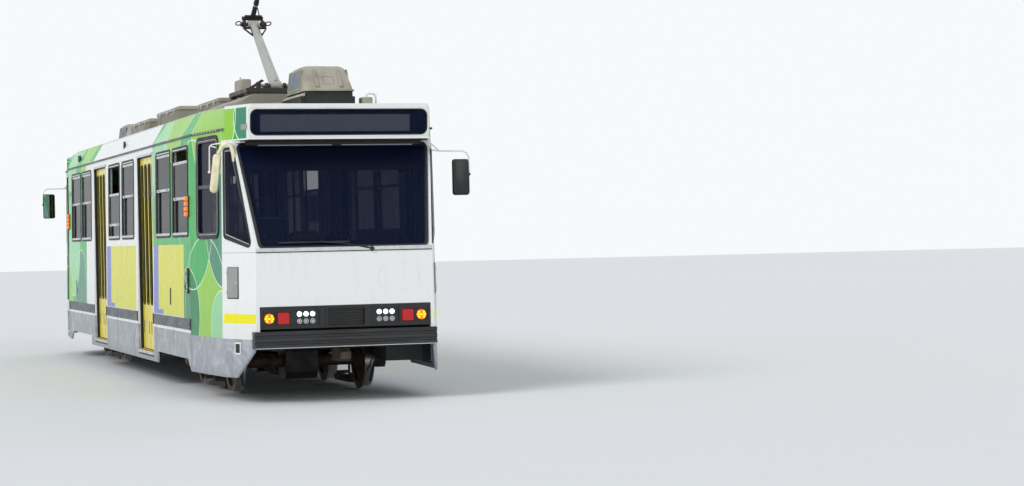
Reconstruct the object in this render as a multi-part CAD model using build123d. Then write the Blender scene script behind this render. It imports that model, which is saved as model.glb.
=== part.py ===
from build123d import *
import os
from math import atan2, cos, degrees, hypot, radians, sin, tan

# Two-way tram on two bogies, in millimetres: +X is one driving end, +Y its left side, +Z up.
# Heights are above the rail; write() lifts everything by the wheel flange, so the wheels stand on z = 0.

# Body
half_width = 1335
straight_x = 5470  # where the straight side ends and the taper to the cab begins
corner_x = straight_x + 1330  # where the taper meets the corner facet
corner_inset = 122  # how far the taper comes in
nose_x = corner_x + 680
nose_half_width = 982
wall = 45
skin = 22  # lower panels
lean_in = 29  # how far the side leans in from the rub band to the gutter
skirt_bottom = 265
cab_skirt_top = 683
band_bottom = 737
band_top = 864
band_proud = 5
gutter_z = 2970
floor_top = 860
floor_plate = 40

# Nose
sill_z = 1615
rake = 21.7  # windscreen's lean, in degrees
lamp_band_bottom = 790
lamp_band_top = 1030
lamp_band_half = 945
screen_glass = 8
screen_seat = 26  # width of the ledge that the glass lies on
header_bottom = 2822
header_top = gutter_z + 233
header_back_x = corner_x + 50
header_front_low = nose_x - 134
header_front_high = nose_x - 98
header_floor = 40
header_ceiling = 55
header_rear = 120
bumper_front = nose_x + 22
bumper_bottom = 583
bumper_top = 765
bumper_half = 1007
bumper_back = nose_x - 180
bumper_wing = nose_x - 100  # behind this the beam is narrower, inside the facets
bumper_inner_half = 945

# Roof sections: shoulder y and z, crown z
shoulder_in = 150
shoulder_z = gutter_z + 262
crown_z = gutter_z + 370
end_shoulder_in = 42
end_shoulder_z = gutter_z + 220
roof_skin = 40

# Side windows, along the straight side
side_shift = -120  # centre of the layout on the +Y side
window_width = 1050
window_bottom = 1815
window_top = gutter_z - 125
window_radius = 60
frame_face = 28
frame_depth = 44
frame_proud = 4
frame_fit = 0.3
sash_rail = 34
sash_top_gap = 6
fixed_pane_y = -30
sash_pane_y = -12
transom_z = 2360
pane = 6
pane_groove = 8
outer_pair = straight_x - 1375
outer_pitch = 1205
middle_pitch = 1265

# Doorways
door_pitch = 2068
door_width = 1180
cab_door_width = 800
portal_bottom = 350
portal_top = gutter_z - 90
portal_face = 30
portal_outer = 28  # how far the portal's outer edge lies inside the panel's face
portal_inner = 125
door_recess = 62
leaf_thickness = 32
leaf_lift = 11
jamb_gap = 10
fold_gap = 7
meeting_gap = 16
closing_gap = 9
fold_axis_out = fold_gap / 2
jamb_axis_in = 5
leaf_stile = 42
leaf_groove = 10
leaf_glass_radius = 30
leaf_glass_bottom = 960
leaf_glass_top_margin = 90
pivot_radius = 5
pivot_fit = 0.3
hinge_radius = 4
hinge_pin = 2
hinge_height = 24
hinge_plate = 20
first_tread = 380
second_tread = 620
tread_depth = 278
cab_tread_depth = 395  # deeper, because the wider leaves swing in over it
cab_second_depth = 200
tread_plate = 20

# Running gear
gauge = 1435
flange = 25
wheel_radius = 330
bogie_x = straight_x - 1220
wheelbase = 1800
flange_width = 32
tyre_width = 125
axle_radius = 70
journal_radius = 55
journal_end = 1005
bearing_fit = 0.3
beam_y = 890
beam_width = 85
beam_half_length = 1120
transom_x = 430
transom_width = 100
pivot_pin = 60
bolster_bottom = 655

# Pantograph
panto_x = 4140
panto_z = 3620
knuckle_x = 2900
knuckle_z = 4480
head_x = 4400
head_z = 5560
deck_top = 3440
arm_shaft = 22
head_half = 800

side_lean = degrees(atan2(lean_in, gutter_z - band_top))
panel_y = half_width - band_proud - (band_top - band_bottom) * tan(radians(side_lean))
corner_y = panel_y - corner_inset
quarter_points = [
    # x, y
    (0, panel_y), (straight_x, panel_y), (corner_x, corner_y), (nose_x, nose_half_width), (nose_x, 0),
]
taper_turn = degrees(atan2(corner_inset, corner_x - straight_x))
taper_length = hypot(corner_inset, corner_x - straight_x)
facet_turn = degrees(atan2(corner_y - nose_half_width, nose_x - corner_x))
rake_slope = tan(radians(rake))


# Building blocks

def block(x0, x1, y0, y1, z0, z1):
    return Pos((x0 + x1) / 2, (y0 + y1) / 2, (z0 + z1) / 2) * Box(abs(x1 - x0), abs(y1 - y0), abs(z1 - z0))


def plate(points, direction, amount):
    """flat outline of 3-D points, thickened along a direction"""
    return extrude(make_face(Polyline(*points, close=True)), amount=amount, dir=direction)


def profile_y(points, y0, y1):
    return plate([(x, y0, z) for x, z in points], (0, 1, 0), y1 - y0)


def profile_x(points, x0, x1):
    return plate([(x0, y, z) for y, z in points], (1, 0, 0), x1 - x0)


def rod(a, b, radius):
    a, b = Vector(*a), Vector(*b)
    return Solid.make_cylinder(radius, (b - a).length, Plane(origin=a, z_dir=b - a))


def rounded(u0, u1, h0, h1, out0, out1, radius):
    """panel in a wall's own frame (u along it, y out of it, z up) with rounded corners"""
    outline = RectangleRounded(u1 - u0, h1 - h0, radius)
    face = Plane(origin=((u0 + u1) / 2, out1, (h0 + h1) / 2), x_dir=(1, 0, 0), z_dir=(0, -1, 0)) * outline
    return extrude(face, amount=out1 - out0)


def turned(shape):
    """the same piece at the other end of the tram"""
    return Rot(0, 0, 180) * shape


def both(shapes):
    return list(shapes) + [turned(s) for s in shapes]


def write(node, *shapes):
    solids = [s for shape in shapes for s in (Pos(0, 0, flange) * shape).solids()]
    export_step(Compound(solids), f"parts/{node}.step")


# Body shell: the plan outline at each height

def meet(a, b):
    (px, py), (ux, uy) = a
    (qx, qy), (vx, vy) = b
    s = ((qx - px) * vy - (qy - py) * vx) / (ux * vy - uy * vx)
    return (px + s * ux, py + s * uy)


def quarter(inset, nose_inset):
    """the outline's three corners in one quarter, drawn in from the panels"""
    lines = []
    for k in range(4):
        (ax, ay), (bx, by) = quarter_points[k], quarter_points[k + 1]
        size = hypot(bx - ax, by - ay)
        ux, uy = (bx - ax) / size, (by - ay) / size
        step = nose_inset if k == 3 else inset
        lines.append(((ax + step * uy, ay - step * ux), (ux, uy)))
    return [meet(lines[k], lines[k + 1]) for k in range(3)]


def ring(inset, nose_inset, z):
    one = quarter(inset, nose_inset)
    half = one + [(x, -y) for x, y in reversed(one)]
    points = half + [(-x, -y) for x, y in half]
    return Wire.make_polygon([(x, y, z) for x, y in points], close=True)


def leaning(z):
    return lean_in * (z - band_top) / (gutter_z - band_top)


def body_block(inset, z0, z1):
    """solid of the upper body's outer form, drawn in by inset"""
    rings = [ring(leaning(z) + inset, inset, z) for z in (z0, z1)]
    return Solid.make_loft(rings, ruled=True)


def screen_x(z, inset=0):
    return nose_x - (z - sill_z) * rake_slope - inset / cos(radians(rake))


def raked(shape, inset):
    """cuts away what lies in front of the windscreen's plane"""
    low = sill_z - (inset / cos(radians(rake)) - inset) / rake_slope
    high = header_top + 100
    far = nose_x + 500
    points = [(screen_x(low, inset), low), (screen_x(high, inset), high), (far, high), (far, low)]
    return shape - profile_y(points, -half_width, half_width)


# Frames of the walls: u along the wall, y out of it, z up from the rub band's top
side_at = Pos(0, panel_y, band_top) * Rot(side_lean, 0, 0)
taper_at = Pos(straight_x, panel_y, band_top) * Rot(0, 0, -taper_turn) * Rot(side_lean, 0, 0)
facet_at = Pos(corner_x, corner_y, band_top) * Rot(0, 0, -facet_turn) * Rot(side_lean, 0, 0)
screen_at = Pos(nose_x, 0, sill_z) * Rot(0, 0, -90) * Rot(rake, 0, 0)


def flipped(shape):
    """the same on the tram's other side"""
    return mirror(shape, about=Plane.XZ)


# Doorways: frame with u along the opening, y out of the panel, z above the rail
class Doorway:
    def __init__(self, name, x, y, turn, width, pairs, tread, second):
        self.name = name
        self.at = Pos(x, y, 0) * Rot(0, 0, turn)
        self.width = width
        self.pairs = pairs
        self.tread = tread
        self.second = second
        closing = meeting_gap if pairs == 2 else closing_gap
        gaps = pairs * (jamb_gap + fold_gap) + closing
        self.leaf = (width - gaps) / (2 * pairs)


cab_door_u = taper_length / 2 - 10
cab_door_point = taper_at * Pos(cab_door_u, 0, 0)
left_doorways = [
    # name, x, y, turn, width, pairs of leaves, depth of the first and second tread
    Doorway("fore", side_shift + door_pitch, panel_y, 0, door_width, 2, tread_depth, tread_depth),
    Doorway("back", side_shift - door_pitch, panel_y, 0, door_width, 2, tread_depth, tread_depth),
    Doorway("cab", cab_door_point.position.X, cab_door_point.position.Y, -taper_turn, cab_door_width, 1,
            cab_tread_depth, cab_second_depth),
]
well_side = 10  # the step well's plates stand this far outside the opening


def portal_cut(d):
    half = d.width / 2 + portal_face
    return d.at * block(-half, half, -300, 60, portal_bottom, portal_top)


def pivot_points(d):
    """(u, direction) of each jamb pivot; the cab door has one, at its rear jamb"""
    ends = [(-d.width / 2 + jamb_gap, 1), (d.width / 2 - jamb_gap, -1)]
    return ends[: d.pairs]


leaf_bottom = first_tread + leaf_lift
leaf_top = portal_top - portal_face - leaf_lift
jamb_axis_y = -door_recess - leaf_thickness - jamb_axis_in
fold_axis_y = -door_recess + fold_axis_out


def portal(d):
    half = d.width / 2
    side = half + portal_face
    outer = block(-side, side, -portal_inner, -portal_outer, portal_bottom, portal_top)
    inner = block(-half, half, -portal_inner - 1, 0, first_tread, portal_top - portal_face)
    body = outer - inner
    for u, _ in pivot_points(d):
        for z in (portal_bottom + 12, portal_top - portal_face - 1):
            body -= rod((u, jamb_axis_y, z), (u, jamb_axis_y, z + 20), pivot_radius + pivot_fit)
    return d.at * body


def step_well(d):
    """two treads between side plates, from the portal up to the floor"""
    inner = d.width / 2 + well_side
    outer = inner + tread_plate
    y1 = -portal_inner
    y2 = y1 - d.tread
    y3 = y2 - d.second
    stair = block(-outer, outer, y2, y1, first_tread - tread_plate, first_tread)
    stair += block(-outer, outer, y2 - tread_plate, y2, first_tread - tread_plate, second_tread)
    stair += block(-outer, outer, y3, y2, second_tread - tread_plate, second_tread)
    stair += block(-outer, outer, y3 - tread_plate, y3, second_tread - tread_plate, floor_top)
    low = first_tread - tread_plate
    mid = second_tread - tread_plate
    cheek = [(y1, low), (y2 - tread_plate, low), (y2 - tread_plate, mid), (y3 - tread_plate, mid),
             (y3 - tread_plate, floor_top), (y1, floor_top)]
    for u in (-outer, inner):
        stair += profile_x(cheek, u, u + tread_plate)
    return d.at * stair


def well_cut(d):
    half = d.width / 2 + well_side + tread_plate
    inmost = -portal_inner - d.tread - d.second - tread_plate
    return d.at * block(-half, half, inmost, 100, 0, floor_top + 50)


def leaf_panel(width):
    """door leaf from u = 0, its outer face at y = 0: a frame with its pane seated in a groove"""
    top = leaf_top - leaf_glass_top_margin
    body = block(0, width, -leaf_thickness, 0, leaf_bottom, leaf_top)
    u0, u1, low = leaf_stile, width - leaf_stile, leaf_glass_bottom
    body -= rounded(u0, u1, low, top, -leaf_thickness - 1, 1, leaf_glass_radius)
    mid = -leaf_thickness / 2
    deep, half = leaf_groove, pane / 2 + frame_fit
    body -= block(u0 - deep, u1 + deep, mid - half, mid + half, low - deep, top + deep)
    deep, half = leaf_groove - frame_fit, pane / 2
    glass = block(u0 - deep, u1 + deep, mid - half, mid + half, low - deep, top + deep)
    return body, glass


hinge_heights = (leaf_bottom + 330, leaf_top - 480)
pin_reach = 26
bracket_height = 14
bracket_width = 24


def jamb_leaf(width):
    """swings at the portal on two pins and carries the folding hinge's sleeves"""
    body, glass = leaf_panel(width)
    axis = -leaf_thickness - jamb_axis_in
    ends = [
        # bracket's bottom, pin's bottom, pin's top
        (leaf_bottom, leaf_bottom - pin_reach, leaf_bottom + bracket_height),
        (leaf_top - bracket_height, leaf_top - bracket_height, leaf_top + pin_reach),
    ]
    for z, low, high in ends:
        body += block(0, bracket_width, axis - pivot_radius, -leaf_thickness + 12, z, z + bracket_height)
        body += rod((0, axis, low), (0, axis, high), pivot_radius)
    u = width + fold_gap / 2
    for z in hinge_heights:
        body += block(width - hinge_plate, u, 0, fold_axis_out + 2.5, z, z + hinge_height)
        body += rod((u, fold_axis_out, z), (u, fold_axis_out, z + hinge_height), hinge_radius)
        body -= rod((u, fold_axis_out, z - 1), (u, fold_axis_out, z + hinge_height + 1), hinge_pin + 0.3)
    return [body, glass]


def inner_leaf(width):
    """folds on the jamb leaf: its pins stand in the sleeves"""
    body, glass = leaf_panel(width)
    body, glass = Pos(width + fold_gap, 0, 0) * body, Pos(width + fold_gap, 0, 0) * glass
    u = width + fold_gap / 2
    for z in hinge_heights:
        top = z + hinge_height + 0.5
        body += block(u, width + fold_gap + hinge_plate, 0, fold_axis_out + 2.5, top, top + hinge_height)
        body += rod((u, fold_axis_out, z + 2), (u, fold_axis_out, top + hinge_height), hinge_pin)
    return [body, glass]


def place_leaf(d, u, way, shapes):
    """way -1 mirrors the leaf, so that it hinges at the other jamb"""
    placed = []
    for s in shapes:
        s = Pos(0, -door_recess, 0) * s
        if way < 0:
            s = mirror(s, about=Plane.YZ)
        placed.append(d.at * Pos(u, 0, 0) * s)
    return placed


# Windows of one side: centre u and how far the upper sash is lowered
left_windows = [
    # u, drop
    (outer_pair - outer_pitch / 2 + side_shift, 0),
    (outer_pair + outer_pitch / 2 + side_shift, 0),
    (middle_pitch / 2 + side_shift, 366),
    (-middle_pitch / 2 + side_shift, 0),
    (-outer_pair + outer_pitch / 2 + side_shift, 0),
    (-outer_pair - outer_pitch / 2 + side_shift, 125),
]
win_low = window_bottom - band_top
win_high = window_top - band_top


def window_cut(u):
    half = window_width / 2
    return side_at * rounded(u - half, u + half, win_low, win_high, -200, 50, window_radius)


def window_parts(u, drop):
    """ring, fixed pane below, and the sliding sash above with its two rails"""
    fit = frame_fit
    half = window_width / 2 - fit
    ring_body = rounded(u - half, u + half, win_low + fit, win_high - fit, -frame_depth, frame_proud, window_radius)
    inside = half - frame_face
    low, high = win_low + frame_face, win_high - frame_face
    radius = window_radius - frame_face
    ring_body -= rounded(u - inside, u + inside, low, high, -frame_depth - 1, frame_proud + 1, radius)
    middle = transom_z - band_top
    side = inside + pane_groove
    thick = pane / 2 + fit
    for face in (fixed_pane_y, sash_pane_y):
        ring_body -= block(u - side, u + side, face - thick, face + thick, low - pane_groove, high + pane_groove)
    side -= fit
    thick = pane / 2
    fixed = block(u - side, u + side, fixed_pane_y - thick, fixed_pane_y + thick, low - pane_groove + fit, middle)
    top = high - drop - sash_top_gap
    sash = middle - drop
    moving = block(u - side, u + side, sash_pane_y - thick, sash_pane_y + thick, sash, top)
    rails = []
    for h in (sash, top - sash_rail):
        bar = block(u - inside + fit, u + inside - fit, sash_pane_y - 9, sash_pane_y + 9, h, h + sash_rail)
        slot = thick + 0.01
        bar -= block(u - inside, u + inside, sash_pane_y - slot, sash_pane_y + slot, h - 1, h + sash_rail + 1)
        rails.append(bar)
    return ring_body, [fixed, moving], rails


# Side walls, skirts and mouldings
def side_wall():
    body = side_at * block(-straight_x, straight_x, -wall, 0, -200, gutter_z - band_top + 50)
    body = body & block(-straight_x, straight_x, 0, half_width, band_bottom, gutter_z)
    for u, _ in left_windows:
        body -= window_cut(u)
    for d in left_doorways[:2]:
        body -= portal_cut(d)
    return body


# Bogie cut-outs of the skirt: the left side's, from the front
cutout_top = 400
cutouts = [
    # bogie's centre, then from it: rear and front edge at the top, rear and front edge at the bottom
    (bogie_x, -1280, 850, -1280, 1070),
    (-bogie_x, -970, 1170, -1190, 1170),
]


def side_skirt():
    body = block(-straight_x, straight_x, panel_y - skin, panel_y, skirt_bottom, band_bottom)
    low = skirt_bottom - 1
    for x, a, b, c, d in cutouts:
        outline = [(x + a, cutout_top), (x + b, cutout_top), (x + d, low), (x + c, low)]
        body -= profile_y(outline, panel_y - 100, panel_y + 100)
    for d in left_doorways[:2]:
        body -= portal_cut(d)
    return body


def cab_shell():
    outer = raked(body_block(0, cab_skirt_top, gutter_z), 0)
    inner = raked(body_block(wall, cab_skirt_top - 20, gutter_z + 20), wall)
    body = (outer - inner) & block(straight_x, nose_x + 10, -half_width, half_width, cab_skirt_top, gutter_z)
    body -= block(header_back_x, nose_x + 10, -half_width, half_width, header_bottom, gutter_z + 10)
    body -= block(nose_x - wall - 5, nose_x + 10, -lamp_band_half, lamp_band_half, cab_skirt_top - 10, lamp_band_top)
    body -= portal_cut(left_doorways[2])
    body -= bumper_cut()
    body -= screen_seat_cut()
    for side in (0, 1):
        cut = corner_seat_cut()
        body -= flipped(cut) if side else cut
    body -= flipped(driver_window_cut())
    return body


def bumper_cut():
    """room for the bumper's ends in the facets"""
    fit = frame_fit
    low, high = bumper_bottom - fit, bumper_top + fit
    return block(bumper_wing - fit, bumper_front, -half_width, half_width, low, high)


def cab_skirt():
    """lower panels of the taper and the facets, cut back on a slant under the bumper"""
    outer = Solid.make_loft([ring(0, 0, skirt_bottom), ring(0, 0, cab_skirt_top)], ruled=True)
    inner = Solid.make_loft([ring(skin, skin, skirt_bottom - 9), ring(skin, skin, cab_skirt_top + 9)], ruled=True)
    body = (outer - inner) & block(straight_x, nose_x, -half_width, half_width, skirt_bottom, cab_skirt_top)
    low, high = skirt_bottom - 1, cab_skirt_top + 1
    front = nose_x - 64
    ahead = nose_x + 120
    slant = [(nose_x - 430, low), (front, bumper_bottom - 29), (front, high), (ahead, high), (ahead, low)]
    body -= profile_y(slant, -half_width, half_width)
    body -= portal_cut(left_doorways[2])
    body -= bumper_cut()
    return body


# Windscreen and corner glass, in their planes' own frames
screen_low = 40
screen_high = (header_bottom - sill_z) / cos(radians(rake)) - 40
screen_half_low = 925
screen_half_high = 1068


def screen_outline(grow, out0, out1):
    a, b = screen_half_low + grow, screen_half_high + grow
    lo, hi = screen_low - grow, screen_high + grow
    points = [(-a, lo), (a, lo), (b, hi), (-b, hi)]
    face = fillet(make_face(Polyline(*points, close=True)).vertices(), 60 + grow)
    flat = Plane(origin=(0, out1, 0), x_dir=(1, 0, 0), z_dir=(0, -1, 0)) * face
    return screen_at * extrude(flat, amount=out1 - out0)


def screen_seat_cut():
    return screen_outline(frame_fit, -screen_glass - frame_fit, 40) + screen_outline(-screen_seat, -200, 40)


facet_length = hypot(corner_y - nose_half_width, nose_x - corner_x)
corner_glass_points = [
    # u, height above the band
    (40, 925), (facet_length - 82, 800), (facet_length - 480, 1880), (40, 1880),
]


def corner_outline(grow, out0, out1):
    """trapezoid beside the windscreen, its lower edge rising to the rear"""
    wire = Polyline(*corner_glass_points, close=True)
    face = make_face(wire)
    if grow:
        face = offset(face, amount=grow, kind=Kind.INTERSECTION)
    face = fillet(face.vertices(), 45 + max(grow, -25))
    flat = Plane(origin=(0, out1, 0), x_dir=(1, 0, 0), z_dir=(0, -1, 0)) * face
    return facet_at * extrude(flat, amount=out1 - out0)


def corner_seat_cut():
    return corner_outline(frame_fit, -screen_glass - frame_fit, 40) + corner_outline(-20, -120, 40)


driver_u0, driver_u1 = 330, 1165
driver_low, driver_high = 937, 2016
driver_radius = 90
driver_rail_h = 1470
driver_pane_y = -20


def driver_window_cut():
    return taper_at * rounded(driver_u0, driver_u1, driver_low, driver_high, -120, 50, driver_radius)


def driver_window():
    """ring, rail and two panes of the driver's side window"""
    fit = frame_fit
    radius = driver_radius - frame_face
    u0, u1, h0, h1 = driver_u0 + fit, driver_u1 - fit, driver_low + fit, driver_high - fit
    body = rounded(u0, u1, h0, h1, -frame_depth, frame_proud, driver_radius)
    u0, u1 = driver_u0 + frame_face, driver_u1 - frame_face
    h0, h1 = driver_low + frame_face, driver_high - frame_face
    body -= rounded(u0, u1, h0, h1, -frame_depth - 1, frame_proud + 1, radius)
    middle, thick, g = driver_pane_y, pane / 2 + fit, pane_groove
    body -= rounded(u0 - g, u1 + g, h0 - g, h1 + g, middle - thick, middle + thick, radius + g)
    thick, g = pane / 2, pane_groove - fit
    glass = rounded(u0 - g, u1 + g, h0 - g, h1 + g, middle - thick, middle + thick, radius + g)
    rail = block(u0 + fit, u1 - fit, middle + thick + fit, -5, driver_rail_h, driver_rail_h + sash_rail - 4)
    return body, glass, rail


def header_box():
    """destination box over the windscreen, open at the front"""
    rings = [ring(leaning(z), 0, z) for z in (header_bottom, header_top)]
    form = Solid.make_loft(rings, ruled=True)
    slope = [(header_back_x, header_bottom), (header_front_low, header_bottom), (header_front_high, header_top),
             (header_back_x, header_top)]
    form = form & profile_y(slope, -half_width, half_width)
    low, high = header_bottom + header_floor, header_top - header_ceiling
    back = header_back_x + header_rear
    room = [(back, low), (header_front_low + 60, low), (header_front_high + 60, high), (back, high)]
    return form - profile_y(room, -nose_half_width, nose_half_width)


def header_glass():
    z0, z1 = header_bottom + header_floor, header_top - header_ceiling
    slope = (header_front_high - header_front_low) / (header_top - header_bottom)
    x0 = header_front_low + slope * (z0 - header_bottom) - 8
    x1 = header_front_low + slope * (z1 - header_bottom) - 8
    y = nose_half_width - frame_fit
    z0, z1 = z0 + frame_fit, z1 - frame_fit
    return profile_y([(x0 - pane, z0), (x0, z0), (x1, z1), (x1 - pane, z1)], -y, y)


# Roof: four sections joined by straight runs
def roof_section(x, side_y, shoulder, z_shoulder, z_crown, inset):
    y0, y1 = side_y - inset, side_y - shoulder - inset
    low = gutter_z - (0 if inset == 0 else 40)
    z1, z2 = z_shoulder - inset * 0.7, z_crown - inset
    half = [(y0, low), (y0, gutter_z), (y1, z1)] if inset else [(y0, low), (y1, z1)]
    side = Polyline(*[(x, -y, z) for y, z in reversed(half)], *[(x, y, z) for y, z in half])
    arc = ThreePointArc((x, y1, z1), (x, 0, z2), (x, -y1, z1))
    return Wire((side + arc).edges())


def roof_form(inset, end=0):
    stations = [
        # x, half width at the gutter, shoulder inset, shoulder z, crown z
        (header_back_x + end, roof_end_y, end_shoulder_in, end_shoulder_z, header_top),
        (straight_x, panel_y - lean_in, shoulder_in, shoulder_z, crown_z),
    ]
    stations += [(-x, *rest) for x, *rest in reversed(stations)]
    rings = [roof_section(*s, inset) for s in stations]
    return Solid.make_loft(rings, ruled=True)


def facet_y(x, z):
    """half width of the corner facet at a place"""
    return corner_y - (x - corner_x) * tan(radians(facet_turn)) - leaning(z) / cos(radians(facet_turn))


roof_end_y = facet_y(header_back_x, gutter_z)


# Running gear
def wheelset():
    """axle with two resilient wheels, turned as one"""
    back = gauge / 2 - flange_width + 10
    face = back + tyre_width
    tip = wheel_radius + flange
    rim = wheel_radius - 60
    half = [
        # radius, y
        (axle_radius, 0), (axle_radius, back - 40), (110, back - 30), (110, back + 25), (rim, back + 30),
        (rim, back), (tip, back + 4), (tip, back + flange_width - 10), (wheel_radius + 2, back + flange_width),
        (wheel_radius - 2, face), (rim, face), (rim - 8, face - 40), (130, face - 45), (110, face + 15),
        (journal_radius, face + 15), (journal_radius, journal_end),
    ]
    points = [(0, journal_end), *reversed(half), *[(r, -y) for r, y in half[1:]], (0, -journal_end)]
    section = make_face(Polyline(*[(r, y, 0) for r, y in points], close=True))
    return revolve(section, axis=Axis.Y, revolution_arc=360)


axle_z = wheel_radius


beam_top = 560
beam_low = 470
transom_bottom = 400
spring_radius = 95
shoe_half = 380
shoe_hanger_x = 300
box_half = 120  # axle box


def bogie_frame():
    """H frame of two side beams and two transoms, axle boxes, rail brakes, springs and the centre bearing"""
    y0, y1 = beam_y, beam_y + beam_width
    bend = wheelbase / 2 - 260
    half = [(beam_half_length, beam_low), (beam_half_length, beam_top), (bend, beam_top), (transom_x, beam_low)]
    low = [(transom_x - 60, 330), (bend, 420), (wheelbase / 2 - 150, beam_low)]
    points = half + [(-x, z) for x, z in reversed(half)] + [(-x, z) for x, z in reversed(low)] + low
    beam = profile_y(points, y0, y1)
    body = beam + flipped(beam)
    for x in (-1, 1):
        a, b = sorted((x * transom_x, x * (transom_x + transom_width)))
        body += block(a, b, -y1, y1, transom_bottom, transom_bottom + 120)
    body += block(-transom_x, transom_x, -150, 150, beam_low, 540)
    body += rod((0, 0, 540), (0, 0, 640), 230)
    body += rod((0, 0, 640), (0, 0, bolster_bottom + 110), pivot_pin)
    for side in (-1, 1):
        for x in (-wheelbase / 2, wheelbase / 2):
            box = block(x - box_half, x + box_half, y0 + 5, y1 + 25, 225, beam_low)
            box -= rod((x, 0, axle_z), (x, journal_end + 60, axle_z), journal_radius + bearing_fit)
            box += block(x - 90, x + 90, journal_end + bearing_fit, y1 + 42, 255, 405)
            body += box if side > 0 else flipped(box)
        outline = [(shoe_half, 16), (shoe_half + 40, 60), (shoe_half, 96)]
        outline += [(-x, z) for x, z in reversed(outline)]
        shoe = profile_y(outline, gauge / 2 + 5, gauge / 2 + 75)
        for x in (-shoe_hanger_x, shoe_hanger_x):
            shoe += block(x - 18, x + 18, gauge / 2 + 15, y0 + 10, 90, 130)
            shoe += block(x - 18, x + 18, y0 - 12, y0 + 10, 90, transom_bottom + 20)
        body += shoe if side > 0 else flipped(shoe)
        middle = y0 + beam_width / 2
        spring = rod((0, middle, transom_bottom), (0, middle, bolster_bottom - 6), spring_radius)
        body += spring if side > 0 else flipped(spring)
    return body


def drive_unit():
    """one lengthwise motor driving both axles through a gear case on each"""
    z = axle_z - 20
    shaft = wheelbase / 2 - 260
    body = rod((35 - transom_x, 0, z), (transom_x - 35, 0, z), 205)
    body &= block(-transom_x, transom_x, -400, 400, 0, beam_low)
    body += rod((-shaft, 0, z), (shaft, 0, z), 75)
    body += block(-transom_x, transom_x, -120, 120, 420, beam_low)
    case_outline = [
        # x and z from the axle
        (-230, -150), (-120, -205), (140, -205), (215, -120), (215, 120), (120, 195), (-120, 195), (-230, 110),
    ]
    for x in (-wheelbase / 2, wheelbase / 2):
        case = profile_y(case_outline, -210, 170)
        case = Pos(x, 0, axle_z) * (case if x > 0 else Rot(0, 0, 180) * case)
        case -= rod((x, -300, axle_z), (x, 300, axle_z), axle_radius + bearing_fit)
        body += case
    return body


# Pantograph
base_z = 3520
base_half = 430
base_bar = 60
base_plate = 14
lower_foot = 80
lower_end = 58
upper_foot = 32
upper_end = 22  # thin enough to pass under the rear contact strip when folded
yoke_rise = 100  # lifts the upper tube clear of the lower arm when it is folded
yoke_half = 115
strip_spread = 180


def panto_base():
    """frame on four insulators, with the lower arm's bearings"""
    x0, x1 = panto_x - 740, panto_x + 360
    inside = base_half - base_bar
    body = block(x0, x1, -base_half, base_half, base_z, base_z + 50)
    body -= block(x0 + base_bar, x1 - base_bar, -inside, inside, base_z - 1, base_z + 51)
    body += block(panto_x - 90, panto_x + 90, -inside - 30, inside + 30, base_z, base_z + base_plate)
    for y in (-230, 190):
        lug = block(panto_x - 45, panto_x + 45, y, y + 40, base_z, panto_z + 45)
        body += lug - rod((panto_x, y - 1, panto_z), (panto_x, y + 41, panto_z), arm_shaft + bearing_fit)
    for x in (x0 + base_bar, x1 - base_bar):
        for y in (-inside - 10, inside + 10):
            body += rod((x, y, deck_top), (x, y, base_z), 38)
            for k in range(2):
                body += rod((x, y, deck_top + 18 + 26 * k), (x, y, deck_top + 30 + 26 * k), 58)
    return body


def lower_arm():
    """tapered tube from the base shaft to the knuckle"""
    body = rod((panto_x, -245, panto_z), (panto_x, 245, panto_z), arm_shaft)
    body += rod((panto_x, -70, panto_z), (panto_x, 70, panto_z), 52)
    a, b = Vector(panto_x, 0, panto_z), Vector(knuckle_x, 0, knuckle_z)
    body += Solid.make_cone(lower_foot, lower_end, (b - a).length, Plane(origin=a, z_dir=b - a))
    body += rod((knuckle_x, -75, knuckle_z), (knuckle_x, 75, knuckle_z), 50)
    body -= rod((knuckle_x, -76, knuckle_z), (knuckle_x, 76, knuckle_z), arm_shaft + bearing_fit)
    return body


def upper_arm():
    """yoke over the lower arm's end, then one tapered tube up to the head's shaft"""
    body = rod((knuckle_x, -150, knuckle_z), (knuckle_x, 150, knuckle_z), arm_shaft)
    a, b = Vector(knuckle_x, 0, knuckle_z), Vector(head_x, 0, head_z)
    way = (b - a).normalized()
    start = a + Vector(-way.Z, 0, way.X) * yoke_rise
    body += rod((start.X, -yoke_half - 18, start.Z), (start.X, yoke_half + 18, start.Z), 26)
    for y in (-yoke_half, yoke_half):
        body += rod((knuckle_x, y - 18, knuckle_z), (knuckle_x, y + 18, knuckle_z), 48)
        body += rod((knuckle_x, y, knuckle_z), (start.X, y, start.Z), 18)
    body += Solid.make_cone(upper_foot, upper_end, (b - start).length, Plane(origin=start, z_dir=b - start))
    body += rod((head_x, -330, head_z), (head_x, 330, head_z), 18)
    return body


def panto_head():
    """two contact strips with horns, on a cradle that turns on the upper arm's shaft"""
    body = Part()
    bend = head_half - 240
    z = head_z
    over = [(bend, z + 55), (bend + 80, z + 30), (head_half, z - 110)]
    under = [(head_half - 12, z - 126), (bend + 70, z + 8), (bend - 4, z + 30)]
    right = over + under
    points = right + [(-y, h) for y, h in reversed(right)]
    for x in (head_x - strip_spread, head_x + strip_spread):
        body += profile_x(points, x - 28, x + 28)
    for y in (-290, 290):
        cradle = block(head_x - strip_spread, head_x + strip_spread, y - 12, y + 12, head_z - 30, head_z + 32)
        cradle += rod((head_x, y - 22, head_z), (head_x, y + 22, head_z), 32)
        body += cradle - rod((head_x, y - 23, head_z), (head_x, y + 23, head_z), 18 + bearing_fit)
    return body


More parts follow.
